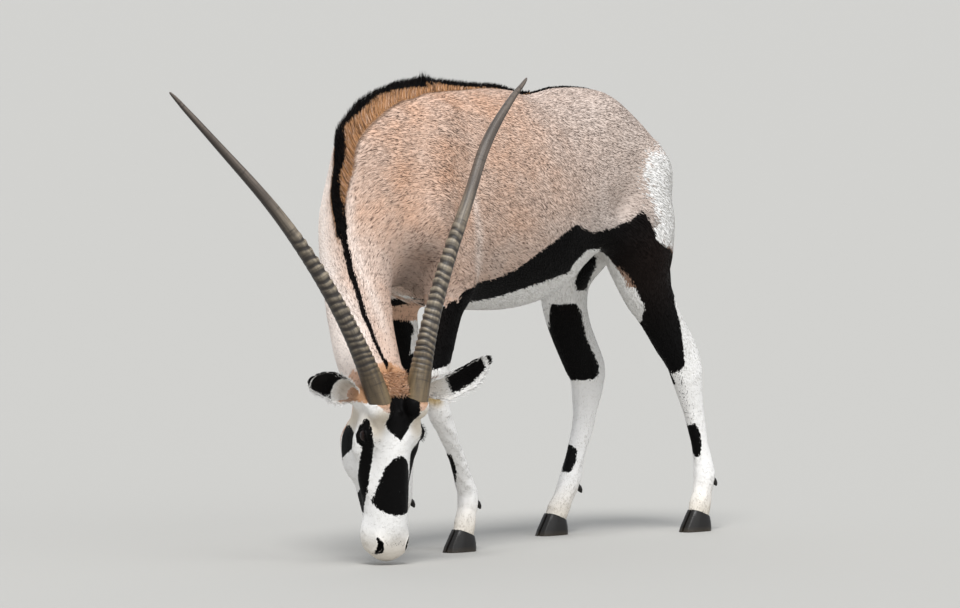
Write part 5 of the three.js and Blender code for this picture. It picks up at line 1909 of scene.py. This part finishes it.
@dataclass
class Crest:
    """The mane, rust below and black at its tips, and the thin black line down neck and back."""

    hide: Hide
    maker: HairPiece
    mane: int = 8000
    line: int = 3400
    seed: int = 11

    def tall(self, along: Array) -> Array:
        """Finds how high the hair stands over the crest, in millimetres."""
        stops = [0, 400, 500, 600, 700, 950, 1100, 1250, 1400, 1530, 1650, 1740, 1850]
        return np.interp(along, stops, [9, 12, 20, 34, 42, 43, 36, 22, 14, 12, 11, 9, 6])

    def rooted(self, along: Array, aside: Array) -> tuple[Array, ...]:
        """Finds roots on the skin beside the crest.

        Args:
            along: distances from the poll.
            aside: distances to the left of the crest.

        Returns:
            The roots, the crest's places, and the ways along it, up and to the left.
        """
        place = self.hide.place
        at, run, up, left = self.hide.spine.at(along)
        root = at + left * aside[:, None] - up * 3.0
        start = place.row(root + up * 120.0)
        for i in range(len(along)):
            hit = self.hide.skin_tree.ray_cast(Vector(start[i]), Vector(-up[i]))
            if hit[0] is not None:
                root[i] = place.animal(np.array(hit[0])) - up[i] * 1.5
        return root, at, run, up, left

    def build(self, material: Finish) -> list[Piece]:
        """Makes the mane and the line.

        Args:
            material: the coat's material.

        Returns:
            The two finished pieces.
        """
        random = np.random.default_rng(self.seed)
        tries = random.uniform(430, 1500, self.mane * 4)
        along = tries[random.random(len(tries)) * 42 < mane_half(tries)][: self.mane]
        count = len(along)
        share = random.uniform(-1, 1, count)
        q = np.abs(share)[:, None]
        root, at, run, up, left = self.rooted(along, share * mane_half(along))
        tall = self.tall(along)
        length = tall * (1.05 - 0.3 * q[:, 0]) * random.uniform(0.8, 1.1, count) + 5 * q[:, 0]
        toward = -left * np.sign(share)[:, None] * q
        way = unit(up * (1 - 0.2 * q) + run * 0.42 + toward * 0.7 + random.normal(0, 0.06, (count, 3)))
        bend = run * (length * 0.2)[:, None] + left * random.normal(0, 1.6, (count, 1))
        flat = unit(left * np.sign(share)[:, None] + random.normal(0, 0.3, (count, 3)))
        flat = across_way(flat, way)
        size = np.stack([length, random.uniform(1.6, 2.8, count), random.uniform(0.6, 1.0, count)], axis=1)
        rows = [(0.0, 0.8, 1.0), (0.35, 1.0, 1.0), (0.7, 0.7, 0.8)]
        places, faces, shares = blades(root, way, flat, size, bend, rows)
        height = np.einsum("nvk,nk->nv", places - at[:, None, :], up) / tall[:, None]
        stops = [430, 520, 600, 700, 900, 1100, 1250, 1400]
        start = np.interp(along, stops, [0.0, 0.05, 0.44, 0.5, 0.52, 0.46, 0.22, 0.0])
        inward = 1 - np.abs(
            np.einsum("nvk,nk->nv", places - at[:, None, :], left)
        ) / mane_half(along)[:, None]
        height = 0.68 * height + 0.32 * inward.clip(-0.5, 1)
        dark = random.random(count)
        fields = bare_marks(count)
        fields[Mark.BLACK.value] = np.clip(0.5 + height - start[:, None], 0, 1)
        fields[Mark.RUST.value] = np.where(dark > 0.8, 0.4, 0.88)
        fields[Mark.BROWN.value] = np.where(dark < 0.24, 0.65, 0.0)
        fields["tint"] = random.random(count)
        mane = self.maker.join("mane", places, faces, shares, fields, material)

        along = np.concatenate(
            [random.uniform(4, 620, self.line // 2), random.uniform(1080, 1885, self.line // 2)]
        )
        count = len(along)
        half = np.interp(along, [0, 119, 364, 499, 1100, 1400], [2.5, 3.5, 7, 8.5, 4.5, 4.0])
        aside = crest_line(along) + random.normal(0, 0.5, count).clip(-1, 1) * half
        root, at, run, up, left = self.rooted(along, aside)
        steep = (1 - 0.55 * smooth(along, 1000, 1300))[:, None]
        length = self.tall(along).clip(8, 14) * random.uniform(0.85, 1.2, count)
        way = unit(up * steep + run * 0.8 + random.normal(0, 0.07, (count, 3)))
        flat = unit(np.cross(way, run) + left * 0.6 + random.normal(0, 0.3, (count, 3)))
        flat = across_way(flat, way)
        size = np.stack([length, random.uniform(1.7, 2.6, count), random.uniform(0.5, 0.8, count)], axis=1)
        bend = run * (length * 0.3)[:, None]
        places, faces, shares = blades(root, way, flat, size, bend, [(0.0, 0.8, 1.0), (0.5, 1.0, 1.0)])
        fields = bare_marks(count)
        fields[Mark.BLACK.value] = np.ones(count)
        fields[Mark.BROWN.value] = random.uniform(0, 0.4, count)
        fields["tint"] = random.random(count)
        return [mane, self.maker.join("dorsal_line", places, faces, shares, fields, material)]


@dataclass
class PollCurls:
    """Loose, light orange-brown curls between and behind the horns."""

    hide: Hide
    maker: HairPiece
    count: int = 1500
    seed: int = 5

    def build(self, material: Finish) -> Piece:
        """Makes the curls.

        Args:
            material: the coat's material.

        Returns:
            The finished piece.
        """
        random = np.random.default_rng(self.seed)
        head = self.hide.head
        tree = self.hide.skin_tree
        roots, ways = [], []
        while len(roots) < self.count:
            a, c = random.uniform(-74, -22), random.uniform(-46, 46)
            start = head.outward(np.array([[a, 90.0, c]]))[0]
            hit = tree.ray_cast(Vector(self.hide.place.row(start)), Vector(-head.axes()[1]))
            if hit[0] is None:
                continue
            spot = head.inward(self.hide.place.animal(np.array(hit[0]))[None, :])[0]
            from_horn = min(np.hypot(spot[0] + 10, spot[2] - s * 54) for s in (1, -1))
            if from_horn < 27:
                continue
            roots.append(spot)
            ways.append(np.array(hit[1]) @ head.axes().T)
        root, outward = np.array(roots), unit(np.array(ways))
        down = np.stack([0.35 * np.ones(self.count), np.zeros(self.count), root[:, 2] / 120], axis=1)
        swirl = random.normal(0, 0.4, (self.count, 3))
        way = unit(outward * 0.7 + down + swirl)
        curl = np.cross(way, outward + swirl)
        length = random.uniform(11, 18, self.count)
        bend = unit(curl) * (length * 0.75)[:, None] - outward * (length * 0.5)[:, None]
        flat = across_way(outward, way)
        size = np.stack(
            [length, random.uniform(1.7, 2.7, self.count), random.uniform(0.7, 1.1, self.count)], axis=1
        )
        rows = [(-0.1, 0.7, 1.0), (0.2, 1.0, 1.0), (0.42, 1.0, 1.0), (0.62, 0.85, 0.9), (0.82, 0.6, 0.7)]
        places, faces, shares = blades(root, way, flat, size, bend, rows)
        places = head.outward(places.reshape(-1, 3)).reshape(places.shape)
        fields = bare_marks(self.count)
        fields[Mark.RUST.value] = random.uniform(0.25, 0.8, self.count)
        fields["tint"] = random.random(self.count) * 0.75
        return self.maker.join("poll_curls", places, faces, shares, fields, material)


@dataclass
class Fringes:
    """White hair round the rims of the ears, and dark lashes over the eyes."""

    hide: Hide
    maker: HairPiece
    ears: dict
    each: int = 420
    lashes: int = 44
    seed: int = 31

    def build(self, material: Finish) -> Piece:
        """Makes the fringes and the lashes.

        Args:
            material: the coat's material.

        Returns:
            The finished piece.
        """
        random = np.random.default_rng(self.seed)
        hide, head = self.hide, self.hide.head
        local = head.inward(hide.place.animal(points_of(hide.skin)))
        roots, ways, tall, black = [], [], [], []
        for name, ear in self.ears.items():
            u, v, _ = ear.cup(local)
            rim = on_part(hide.region, name) & (np.abs(v) > 0.6) & (u > 0.1) & (u < 0.86)
            rim &= v * ear.side > -0.5 - 1.2 * (u < 0.5)
            chosen = random.choice(np.nonzero(rim)[0], self.each)
            _, run, front, across = ear.ways()
            way = run * 0.8 + front * 0.25 + across * np.sign(v[chosen])[:, None] * 0.35
            roots.append(local[chosen])
            ways.append(way + random.normal(0, 0.12, (self.each, 3)))
            tall.append(random.uniform(11, 20, self.each) * (1 - 0.5 * smooth(u[chosen], 0.5, 0.9)))
            black.append(np.zeros(self.each))
        eye = hide.eye
        for side in (1, -1):
            turned = np.linspace(0.25, 2.6, self.lashes) + random.normal(0, 0.02, self.lashes)
            long_way = (eye.half_long + 3) * np.cos(turned)
            tall_way = (eye.half_tall + 3) * np.sin(turned)
            a = long_way - eye.tilt * tall_way
            b = tall_way + eye.tilt * long_way
            c = side * np.sqrt(np.clip((eye.radius + 2.6) ** 2 - a**2 - b**2, 4, None))
            away = np.stack([a, b, c], axis=1)
            roots.append(away + eye.centre(side))
            ways.append(unit(away) + np.array([0.35, 0.55, 0.2 * side]))
            tall.append(random.uniform(7, 11, self.lashes))
            black.append(np.ones(self.lashes))
        root, way = np.concatenate(roots), unit(np.concatenate(ways))
        length, dark = np.concatenate(tall), np.concatenate(black)
        count = len(root)
        flat = unit(np.cross(way, random.normal(0, 1, (count, 3))))
        wide = np.where(dark > 0, 0.7, random.uniform(1.0, 1.8, count))
        size = np.stack([length, wide, wide * 0.4], axis=1)
        bend = random.normal(0, 1, (count, 3)) * (length * 0.06)[:, None]
        rows = [(0.0, 0.8, 1.0), (0.4, 1.0, 1.0), (0.75, 0.7, 0.8)]
        places, faces, shares = blades(root, way, flat, size, bend, rows)
        places = head.outward(places.reshape(-1, 3)).reshape(places.shape)
        fields = bare_marks(count)
        fields[Mark.BLACK.value] = dark
        fields[Mark.WHITE.value] = np.ones(count)
        fields["tint"] = 0.3 + 0.7 * random.random(count)
        return self.maker.join("fringes", places, faces, shares, fields, material)


@dataclass
class Tassel:
    """The tail's long black hair, from half way down the dock to the hocks."""

    hide: Hide
    maker: HairPiece
    locks: int = 900
    seed: int = 23
    line: tuple = (
        (-4, 626, 925), (-3, 632, 860), (0, 628, 780), (2, 620, 700), (0, 620, 640), (0, 636, 565),
        (6, 658, 490), (14, 680, 420), (20, 694, 370), (22, 698, 345),
    )

    def build(self, material: Finish) -> Piece:
        """Makes the tassel.

        Args:
            material: the coat's material.

        Returns:
            The finished piece.
        """
        random = np.random.default_rng(self.seed)
        stops = np.array(self.line, float)
        length = np.concatenate([[0], np.cumsum(np.linalg.norm(np.diff(stops, axis=0), axis=1))])
        run = unit(np.gradient(stops, axis=0))
        start = random.uniform(0.10, 0.62, self.locks) * length[-1]
        at = np.stack([np.interp(start, length, stops[:, k]) for k in range(3)], axis=1)
        along = unit(np.stack([np.interp(start, length, run[:, k]) for k in range(3)], axis=1))
        turned = random.uniform(0, 2 * math.pi, self.locks)
        left = unit(np.cross(along, np.array([0.0, 1.0, 0.0])))
        back = np.cross(left, along)
        outward = left * np.cos(turned)[:, None] + back * np.sin(turned)[:, None]
        share = start / length[-1]
        long = np.interp(
            share, [0.10, 0.35, 0.5, 0.62], [70, 190, 215, 190]
        ) * random.uniform(0.7, 1.15, self.locks)
        long = np.minimum(long, (length[-1] - start) * 1.02)
        end = start + long
        tip = np.stack([np.interp(end, length, stops[:, k]) for k in range(3)], axis=1)
        radius = np.interp(share, [0.1, 0.3, 0.62], [11.5, 10.5, 7.0])[:, None]
        root = at + outward * radius * 0.85
        way = unit(along + outward * np.interp(share, [0.1, 0.3, 0.5], [0.04, 0.12, 0.16])[:, None])
        spread = np.interp(end / length[-1], [0.3, 0.7, 0.9, 1.02], [11, 16, 10, 3])[:, None]
        goal = tip + outward * spread * random.uniform(0.3, 1.0, (self.locks, 1))
        bend = goal - (root + way * long[:, None])
        size = np.stack(
            [long, random.uniform(3.5, 6.5, self.locks), random.uniform(1.2, 2.0, self.locks)], axis=1
        )
        rows = [
            (0.0, 0.7, 1.0), (0.15, 1.0, 1.0), (0.35, 1.0, 1.0), (0.55, 0.9, 0.9), (0.75, 0.7, 0.8),
            (0.9, 0.45, 0.6),
        ]
        flat = across_way(outward, way)
        places, faces, shares = blades(root, way, flat, size, bend, rows)
        fields = bare_marks(self.locks)
        fields[Mark.BLACK.value] = np.ones(self.locks)
        fields[Mark.BROWN.value] = random.uniform(0, 0.5, self.locks)
        fields["tint"] = random.random(self.locks)
        return self.maker.join("tail_tassel", places, faces, shares, fields, material)


@dataclass(frozen=True)
class GrownHorn:
    """Keratin horn: dull ochre at the base, with painted shade in its grooves and on its underside, so that
    its top shows lighter.
    """

    fibre_mm: float = 1.6

    def material(self) -> Finish:
        """Builds the horn's material.

        Returns:
            The new material.
        """
        material, node = blank_material("grown_keratin_horn")
        along, groove, bleach = (
            node("Attribute", {"attribute_name": name}, out="Fac") for name in ("along", "groove", "bleach")
        )
        turn = node("Attribute", {"attribute_name": "round"}, out="Vector")
        patch = node("TexNoise", {"Scale": 4.0, "Detail": 4.0}, {"Vector": turn})
        # growth fibres run the length of the horn, drawn 1.6 mm wide so that they show
        across = 100 / self.fibre_mm
        fibre = node("Mapping", {"Scale": (across, across, 1.2)}, {"Vector": turn})
        fibres = node("TexNoise", {"Scale": 1.0, "Detail": 2.0}, {"Vector": fibre})
        # fine dark growth lines go round it
        lines = node("Mapping", {"Scale": (0.6, 0.6, 80.0)}, {"Vector": turn})
        hoops = node("TexNoise", {"Scale": 1.0, "Detail": 3.0, "Roughness": 0.7}, {"Vector": lines})
        ramp = node("ValToRGB", None, {"Fac": along})
        stops = (
            (0.0, Tone.HORN_BASE), (0.09, Tone.HORN_BASE), (0.2, Tone.HORN_LIGHT), (0.5, Tone.HORN_LIGHT),
            (0.66, Tone.HORN_UPPER), (1.0, Tone.HORN_UPPER),
        )
        elements = ramp.node.color_ramp.elements
        while len(elements) < len(stops):
            elements.new(0.5)
        for element, (spot, tone) in zip(elements, stops):
            element.position = spot
            element.color = linear(tone)
        colour = ramp
        # the last two masks are painted shade: darker where the horn faces down, lighter where it faces up,
        # and dark in the grooves between the rings
        for low, high, most, source in (
            (0.54, 0.68, 0.6, hoops), (0.42, 0.66, 0.65, patch), (0.5, 0.7, 0.5, fibres),
            (0.62, 0.22, 0.94, bleach), (0.1, 0.8, 0.95, groove),
        ):
            reach = {"From Min": low, "From Max": high, "To Max": most}
            mask = node("MapRange", reach, {"Value": source})
            shade = {"data_type": "RGBA", 7: linear(Tone.HORN_DARK)}
            colour = node("Mix", shade, {0: mask, 6: colour}, out=2)
        height = node("Math", {"operation": "ADD"}, {0: fibres, 1: hoops})
        bump = node("Bump", {"Strength": 0.5, "Distance": 0.0009}, {"Height": height})
        surface = node("BsdfPrincipled", {"IOR": 1.54, "Roughness": 0.42, "Specular IOR Level": 0.4},
            {"Base Color": colour, "Normal": bump},
        )
        node("OutputMaterial", None, {"Surface": surface})
        return material


@dataclass
class Horn:
    """One long, ringed horn, modelled straight and then laid along its slight curve."""

    place: Placement
    head: HeadFrame
    base: tuple = (-10.0, -4.0, 54.0)
    tip: tuple = (-771.0, -235.0, 520.0)
    bow: tuple = (20.0, 64.0)
    root: float = 29.0
    length: float = 930.0
    sunk: float = 0.02
    sway: tuple = (22.0, 8.5)
    ring_from: float = 0.055
    ring_to: float = 0.56
    widen: float = 1.467
    rings_per: float = 42.3
    rise: float = 2.2
    sides: int = 32
    taper: tuple = (
        (-0.05, 1), (0.06, 0.97), (0.12, 0.86), (0.2, 0.76), (0.3, 0.69), (0.4, 0.64), (0.52, 0.58),
        (0.63, 0.5), (0.75, 0.41), (0.85, 0.325), (0.92, 0.27), (0.96, 0.22), (0.985, 0.16), (0.997, 0.1),
        (1, 0.04),
    )

    def radius(self, t: Array) -> Array:
        """The horn's radius in millimetres, without its rings."""
        return self.root * np.interp(t, [s for s, _ in self.taper], [r for _, r in self.taper])

    def ring(self, t: Array) -> tuple[Array, Array]:
        """Works out the ridges round the horn, closer together towards its base.

        Args:
            t: shares of the length.

        Returns:
            How high the surface stands, from 0 in a groove to 1 on a ridge, and how strong the rings are.
        """
        phase = self.rings_per * np.log(1 + self.widen * np.clip(t - self.ring_from, 0, 1))
        phase = phase + 0.1 * np.sin(2.3 * phase)
        part = phase - np.floor(phase)
        saw = np.where(part < 0.66, (part / 0.66) ** 0.7, ((1 - part) / 0.34) ** 1.3)
        on = smooth(t, self.ring_from - 0.01, self.ring_from + 0.09)
        return saw, on * (1 - smooth(t, self.ring_to - 0.06, self.ring_to + 0.02))

    def model(self) -> Piece:
        """Models the horn straight up, ring by ring, with one unit to the millimetre.

        Returns:
            The straight horn.
        """
        stops = [-self.sunk, -0.01, 0.0, 0.02, 0.035, 0.05]
        turns = np.arange(
            0, self.rings_per * math.log(1 + self.widen * (self.ring_to + 0.03 - self.ring_from)), 0.125
        )
        stops += list(self.ring_from + (np.exp(turns / self.rings_per) - 1) / self.widen)
        stops += list(np.linspace(self.ring_to + 0.04, 0.985, 26)) + [0.992, 0.997, 1.0]
        bpy.ops.object.select_all(action="DESELECT")
        bpy.ops.mesh.primitive_circle_add(
            vertices=self.sides, radius=float(self.radius(stops[0])), fill_type="NGON",
            location=(0, 0, stops[0] * self.length),
        )
        horn = bpy.context.active_object
        bpy.ops.object.transform_apply(location=True)
        bpy.ops.object.mode_set(mode="EDIT")
        bpy.ops.mesh.select_mode(type="FACE")
        bpy.ops.mesh.select_all(action="SELECT")
        before = float(self.radius(stops[0]))
        for low, high in zip(stops, stops[1:]):
            bpy.ops.mesh.extrude_region_move(
                TRANSFORM_OT_translate={"value": (0, 0, (high - low) * self.length)}
            )
            wide = float(self.radius(high))
            bpy.ops.transform.resize(
                value=(wide / before, wide / before, 1), center_override=(0, 0, high * self.length)
            )
            before = wide
        bpy.ops.object.mode_set(mode="OBJECT")
        return horn

    def bend(self, horn: Piece, side: int) -> None:
        """Raises the rings and lays the straight horn along its curve on the head.

        Args:
            horn: a straight horn.
            side: 1 for the left, -1 for the right.
        """
        points = points_of(horn)
        t = points[:, 2] / self.length
        turned = np.arctan2(points[:, 1], points[:, 0])
        flat = np.hypot(points[:, 0], points[:, 1])
        slant = t + 0.004 * np.sin(turned + 0.6) + 0.0018 * np.sin(3 * turned + 40 * t)
        ring, on = self.ring(slant)
        uneven = 1 + 0.35 * np.sin(23 * t + 1.7 * side) * np.sin(61 * t + 2 * np.cos(turned))
        outer = 0.72 - 0.5 * np.sin(turned) * side
        wide = flat + on * self.rise * (1.3 * ring - 0.5) * outer * uneven
        if side > 0:
            wide = wide * (1 + 0.3 * np.exp(-(((t - 0.84) / 0.12) ** 2)))
        start = np.array([self.base[0], self.base[1], side * self.base[2]])
        chord = np.array([self.tip[0], self.tip[1], side * self.tip[2]]) - start
        out, inward = self.bow

        def path(s: Array) -> Array:
            """Finds places on the horn's middle line.

            Args:
                s: shares of its length.

            Returns:
                The places in a, b, c.
            """
            arch = (4 * s * (1 - s))[:, None]
            swayed = self.sway[0 if side > 0 else 1] * np.exp(
                -(((s - 0.82) / 0.15) ** 2)
            ) * (1 - smooth(s, 0.94, 1))
            line = start + chord * s[:, None] + np.array([0, out, -side * inward]) * arch
            return line - np.array([0, 0, 1]) * swayed[:, None]

        run = unit(path(t + 0.01) - path(t - 0.01))
        outward = unit(np.array([0.0, 1.0, 0.0]) - run * run[:, 1:2])
        across = np.cross(outward, run)
        local = (
            path(t)
            + outward * (wide * 1.06 * np.cos(turned))[:, None]
            + across * (wide * np.sin(turned))[:, None]
        )
        set_points(horn, self.place.row(self.head.outward(local)))
        put_attribute(horn, "along", np.clip(t, 0, 1))
        # painted shade in the grooves between the rings
        put_attribute(horn, "groove", np.clip((1 - ring) * on * 1.2, 0, 1))
        around = outward * np.cos(turned)[:, None] + across * np.sin(turned)[:, None]
        # how far the surface faces up, for painted shade underneath and painted light on top
        put_attribute(horn, "bleach", 0.5 + 0.5 * (around @ self.head.axes())[:, 2])
        layer = horn.data.attributes.new("round", "FLOAT_VECTOR", "POINT")
        around = np.stack([np.cos(turned) * 0.5, np.sin(turned) * 0.5, t * 2.0], axis=1)
        layer.data.foreach_set("vector", around.astype(np.float32).ravel())

    def build(self) -> list[Piece]:
        """Makes both horns.

        Returns:
            The left and the right horn.
        """
        straight = self.model()
        made = []
        material = GrownHorn().material()
        for name, side in (("horn_left", 1), ("horn_right", -1)):
            horn = straight.copy()
            horn.data = straight.data.copy()
            horn.name = f"{name}_sheath"
            bpy.context.scene.collection.objects.link(horn)
            self.bend(horn, side)
            only(horn)
            bpy.ops.object.mode_set(mode="EDIT")
            bpy.ops.mesh.select_all(action="SELECT")
            bpy.ops.mesh.normals_make_consistent(inside=False)
            bpy.ops.object.mode_set(mode="OBJECT")
            bpy.ops.object.shade_smooth()
            dress(horn, material)
            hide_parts(name)
            made.append(horn)
        bpy.data.objects.remove(straight)
        return made


@dataclass(frozen=True)
class WetEye:
    """A living eye: dark brown iris, long pupil lying level, and a wet clear surface."""

    def material(self) -> Finish:
        """Builds the eye's material.

        Returns:
            The new material.
        """
        material, node = blank_material("wet_brown_eye")
        pupil = node("Attribute", {"attribute_name": "pupil"}, out="Fac")
        ring = node("Attribute", {"attribute_name": "iris"}, out="Fac")
        place = node("TexCoord", out="Object")
        # strands in the iris, about 1 mm apart
        strands = node("TexNoise", {"Scale": 500.0, "Detail": 2.0}, {"Vector": place})
        warm = node("Math", {"operation": "MULTIPLY"}, {0: ring, 1: strands})
        colour = node("Mix", {"data_type": "RGBA", 6: linear(Tone.PUPIL), 7: linear(Tone.IRIS)}, {0: warm},
            out=2,
        )
        colour = node("Mix", {"data_type": "RGBA", 7: linear(Tone.PUPIL)}, {0: pupil, 6: colour}, out=2)
        surface = node("BsdfPrincipled",
            {
                "IOR": 1.34, "Roughness": 0.1, "Specular IOR Level": 0.3, "Coat Weight": 0.1,
                "Coat Roughness": 0.03,
            },
            {"Base Color": colour},
        )
        node("OutputMaterial", None, {"Surface": surface})
        return material


@dataclass
class Eyes:
    """Both eyeballs, with the clear front standing a little proud."""

    place: Placement
    head: HeadFrame
    eye: EyeSize
    proud: float = 1.4
    pupil_long: float = 8.0
    pupil_tall: float = 3.6
    iris: tuple = (11.5, 13.5)

    def build(self) -> list[Piece]:
        """Makes the two eyes.

        Returns:
            The left and the right eye.
        """
        made = []
        material = WetEye().material()
        for name, side in (("eye_left", 1), ("eye_right", -1)):
            centre = self.place.row(self.head.outward(self.eye.centre(side)[None, :]))[0]
            bpy.ops.object.select_all(action="DESELECT")
            bpy.ops.mesh.primitive_uv_sphere_add(
                segments=56, ring_count=36, radius=self.eye.radius * 0.001, location=tuple(centre)
            )
            ball = bpy.context.active_object
            bpy.ops.object.transform_apply(location=True)
            ball.name = f"{name}_ball"
            local = self.head.inward(self.place.animal(points_of(ball))) - self.eye.centre(side)
            facing = local[:, 2] * side / self.eye.radius
            cornea = self.proud * smooth(facing, 0.72, 0.95)
            local = local * (1 + cornea / self.eye.radius)[:, None]
            set_points(ball, self.place.row(self.head.outward(local + self.eye.centre(side))))
            long_way, tall_way = self.eye.almond(local)
            pupil = np.hypot(long_way / self.pupil_long, tall_way / self.pupil_tall)
            put_attribute(ball, "pupil", 1 - smooth(pupil, 0.8, 1.1))
            iris = 1 - smooth(np.hypot(long_way, tall_way), *self.iris)
            put_attribute(ball, "iris", iris * (facing > 0))
            only(ball)
            bpy.ops.object.shade_smooth()
            dress(ball, material)
            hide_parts(name)
            made.append(ball)
        return made


@dataclass(frozen=True)
class HoofHorn:
    """Dense dark hoof horn, ridged by growth and scuffed pale along its lower edge."""

    ridge_mm: float = 3.0

    def material(self) -> Finish:
        """Builds the hoof's material.

        Returns:
            The new material.
        """
        material, node = blank_material("dark_hoof_horn")
        place = node("TexCoord", out="Object")
        height = node("SeparateXYZ", None, {"Vector": place}, out="Z")
        # growth ridges run round the wall, 3 mm apart
        squeezed = node("Mapping", {"Scale": (0.12, 0.12, 1.0)}, {"Vector": place})
        ridges = node("TexNoise", {"Scale": 1000.0 / self.ridge_mm, "Detail": 2.0}, {"Vector": squeezed})
        scuff = node("TexNoise", {"Scale": 120.0, "Detail": 4.0, "Roughness": 0.7}, {"Vector": place})
        low = node("MapRange", {"From Min": 0.014, "From Max": 0.0}, {"Value": height})
        worn = node("Math", {"operation": "MULTIPLY"}, {0: low, 1: scuff})
        colour = node(
            "Mix", {"data_type": "RGBA", 6: linear(Tone.HOOF), 7: linear(Tone.HOOF_EDGE)}, {0: worn}, out=2
        )
        bump = node("Bump", {"Strength": 0.5, "Distance": 0.0008}, {"Height": ridges})
        surface = node("BsdfPrincipled", {"IOR": 1.54, "Roughness": 0.42, "Specular IOR Level": 0.35},
            {"Base Color": colour, "Normal": bump},
        )
        node("OutputMaterial", None, {"Surface": surface})
        return material


@dataclass
class Claws:
    """Hoof claws and dewclaws, their edges rounded."""

    round_edge: float = 0.0018

    def build(self) -> list[Piece]:
        """Makes each leg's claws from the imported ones.

        Returns:
            One piece per leg.
        """
        made = []
        material = HoofHorn().material()
        for leg in LEGS:
            nodes = [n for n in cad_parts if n.startswith(leg + "_")]
            places, faces = [], []
            count = 0
            for node in nodes:
                points, triangles = copied_solid(node)
                places.append(points)
                faces.append(triangles + count)
                count += len(points)
            claws = mesh_object(f"{leg}_claws", np.concatenate(places), np.concatenate(faces))
            apply_modifier(
                claws, "BEVEL", width=self.round_edge, segments=2, limit_method="ANGLE",
                angle_limit=math.radians(42),
            )
            only(claws)
            bpy.ops.object.shade_smooth_by_angle(angle=math.radians(50))
            dress(claws, material)
            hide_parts(*nodes)
            made.append(claws)
        return made


@dataclass
class Studio:
    """Plain pale floor, soft light and the camera of the photograph."""

    place: Placement
    lens: float = 329.54
    at: tuple = (14887.48, -16634.66, 1678.94)
    right: tuple = (0.74359578, 0.66859065, -0.00720082)
    up: tuple = (-0.02666663, 0.04041572, 0.99882704)
    back: tuple = (0.66809745, -0.74253156, 0.04788202)
    suns: tuple = (
        ("key", 2.9, 24.0, (0.35, -0.45, 1.0)), ("fill", 0.75, 60.0, (1.0, -0.1, 0.35)),
        ("rim", 0.5, 50.0, (-0.6, 0.7, 0.6)),
    )
    air: tuple = (0.78, 0.82, 0.88, 1.0)
    air_power: float = 0.72

    def camera(self) -> None:
        """Sets the camera where the photograph was taken from."""
        data = bpy.data.cameras.new("photo_camera")
        data.lens = self.lens
        data.sensor_width = 36
        data.sensor_fit = "HORIZONTAL"
        data.clip_end = 2000
        camera = bpy.data.objects.new("photo_camera", data)
        turned = Matrix((self.right, self.up, self.back)).transposed().to_4x4()
        turned.translation = Vector(self.place.row(np.array(self.at)))
        camera.matrix_world = turned
        bpy.context.scene.collection.objects.link(camera)
        bpy.context.scene.camera = camera

    def floor(self) -> None:
        """Lays a wide pale floor under the animal."""
        bpy.ops.object.select_all(action="DESELECT")
        bpy.ops.mesh.primitive_plane_add(size=1200, location=(0, 0, 0))
        floor = bpy.context.active_object
        floor.name = "studio_floor"
        bpy.ops.object.mode_set(mode="EDIT")
        bpy.ops.mesh.subdivide(number_cuts=8)
        bpy.ops.object.mode_set(mode="OBJECT")
        # matt painted studio floor, rolled on, with no pattern that shows
        material, node = blank_material("matt_floor_paint")
        surface = node("BsdfPrincipled", {"Base Color": linear(Tone.FLOOR), "Roughness": 0.95})
        node("OutputMaterial", None, {"Surface": surface})
        floor.data.materials.append(material)

    def lights(self) -> None:
        """Adds a broad soft key, a low fill and even light all round, shown without a film curve."""
        bpy.context.scene.view_settings.view_transform = "Standard"
        for name, power, spread, way in self.suns:
            data = bpy.data.lights.new(name, "SUN")
            data.energy = power
            data.angle = math.radians(spread)
            light = bpy.data.objects.new(name, data)
            light.rotation_euler = Vector(way).to_track_quat("Z", "Y").to_euler()
            bpy.context.scene.collection.objects.link(light)
        world = bpy.data.worlds.new("studio_air")
        world.use_nodes = True
        background = world.node_tree.nodes["Background"]
        background.inputs[0].default_value = self.air
        background.inputs[1].default_value = self.air_power
        bpy.context.scene.world = world


def main() -> None:
    """Builds the animal piece by piece and reports each one."""
    logging.basicConfig(level=logging.INFO, format="%(message)s")
    head = HeadFrame()
    eye = EyeSize()
    place = Placement.from_solids(head, eye)
    studio = Studio(place)
    studio.camera()
    studio.floor()
    studio.lights()
    spine = SpineLine()
    limbs = Limbs()
    hide = Hide(place, head, eye, spine, limbs)
    hide.gather()
    skin = hide.build()
    LOG.info("hide: %d triangles", len(triangles_of(skin)))
    ears = {
        "ear_left": EarFrame(1, (-0.405, 0.46, 0.79), (0.25, 0.87, -0.43), 33.0),
        "ear_right": EarFrame(-1, (-0.25, 0.42, -0.88), (0.45, 0.9, 0.1), 3.0),
    }
    markings = Markings(head, eye, spine, limbs, ears)
    hide.mark(markings)
    dress(skin, ShortCoat().material("short_coat_skin", False))
    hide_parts(*FLESH)
    for piece in (*Horn(place, head).build(), *Eyes(place, head, eye).build(), *Claws().build()):
        LOG.info("%s: %d triangles", piece.name, len(triangles_of(piece)))
    unwrap = Unwrap()
    unwrap.lay(skin)
    maker = HairPiece(unwrap, place)
    coat = Coat(hide, markings, maker)
    coat.build()
    hair = bpy.data.materials["short_coat_hair"]
    tassel = Tassel(hide, maker).build(hair)
    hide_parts("tail")
    crest = Crest(hide, maker).build(hair)
    for piece in (
        *crest, PollCurls(hide, maker).build(hair), Fringes(hide, maker, ears).build(hair), tassel
    ):
        LOG.info("%s: %d triangles", piece.name, len(triangles_of(piece)))
    meshes = [
        piece for piece in bpy.data.objects if piece.type == "MESH" and piece.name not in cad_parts
    ]
    LOG.info("all pieces: %d triangles", sum(len(triangles_of(piece)) for piece in meshes))


if __name__ == "__main__":
    main()
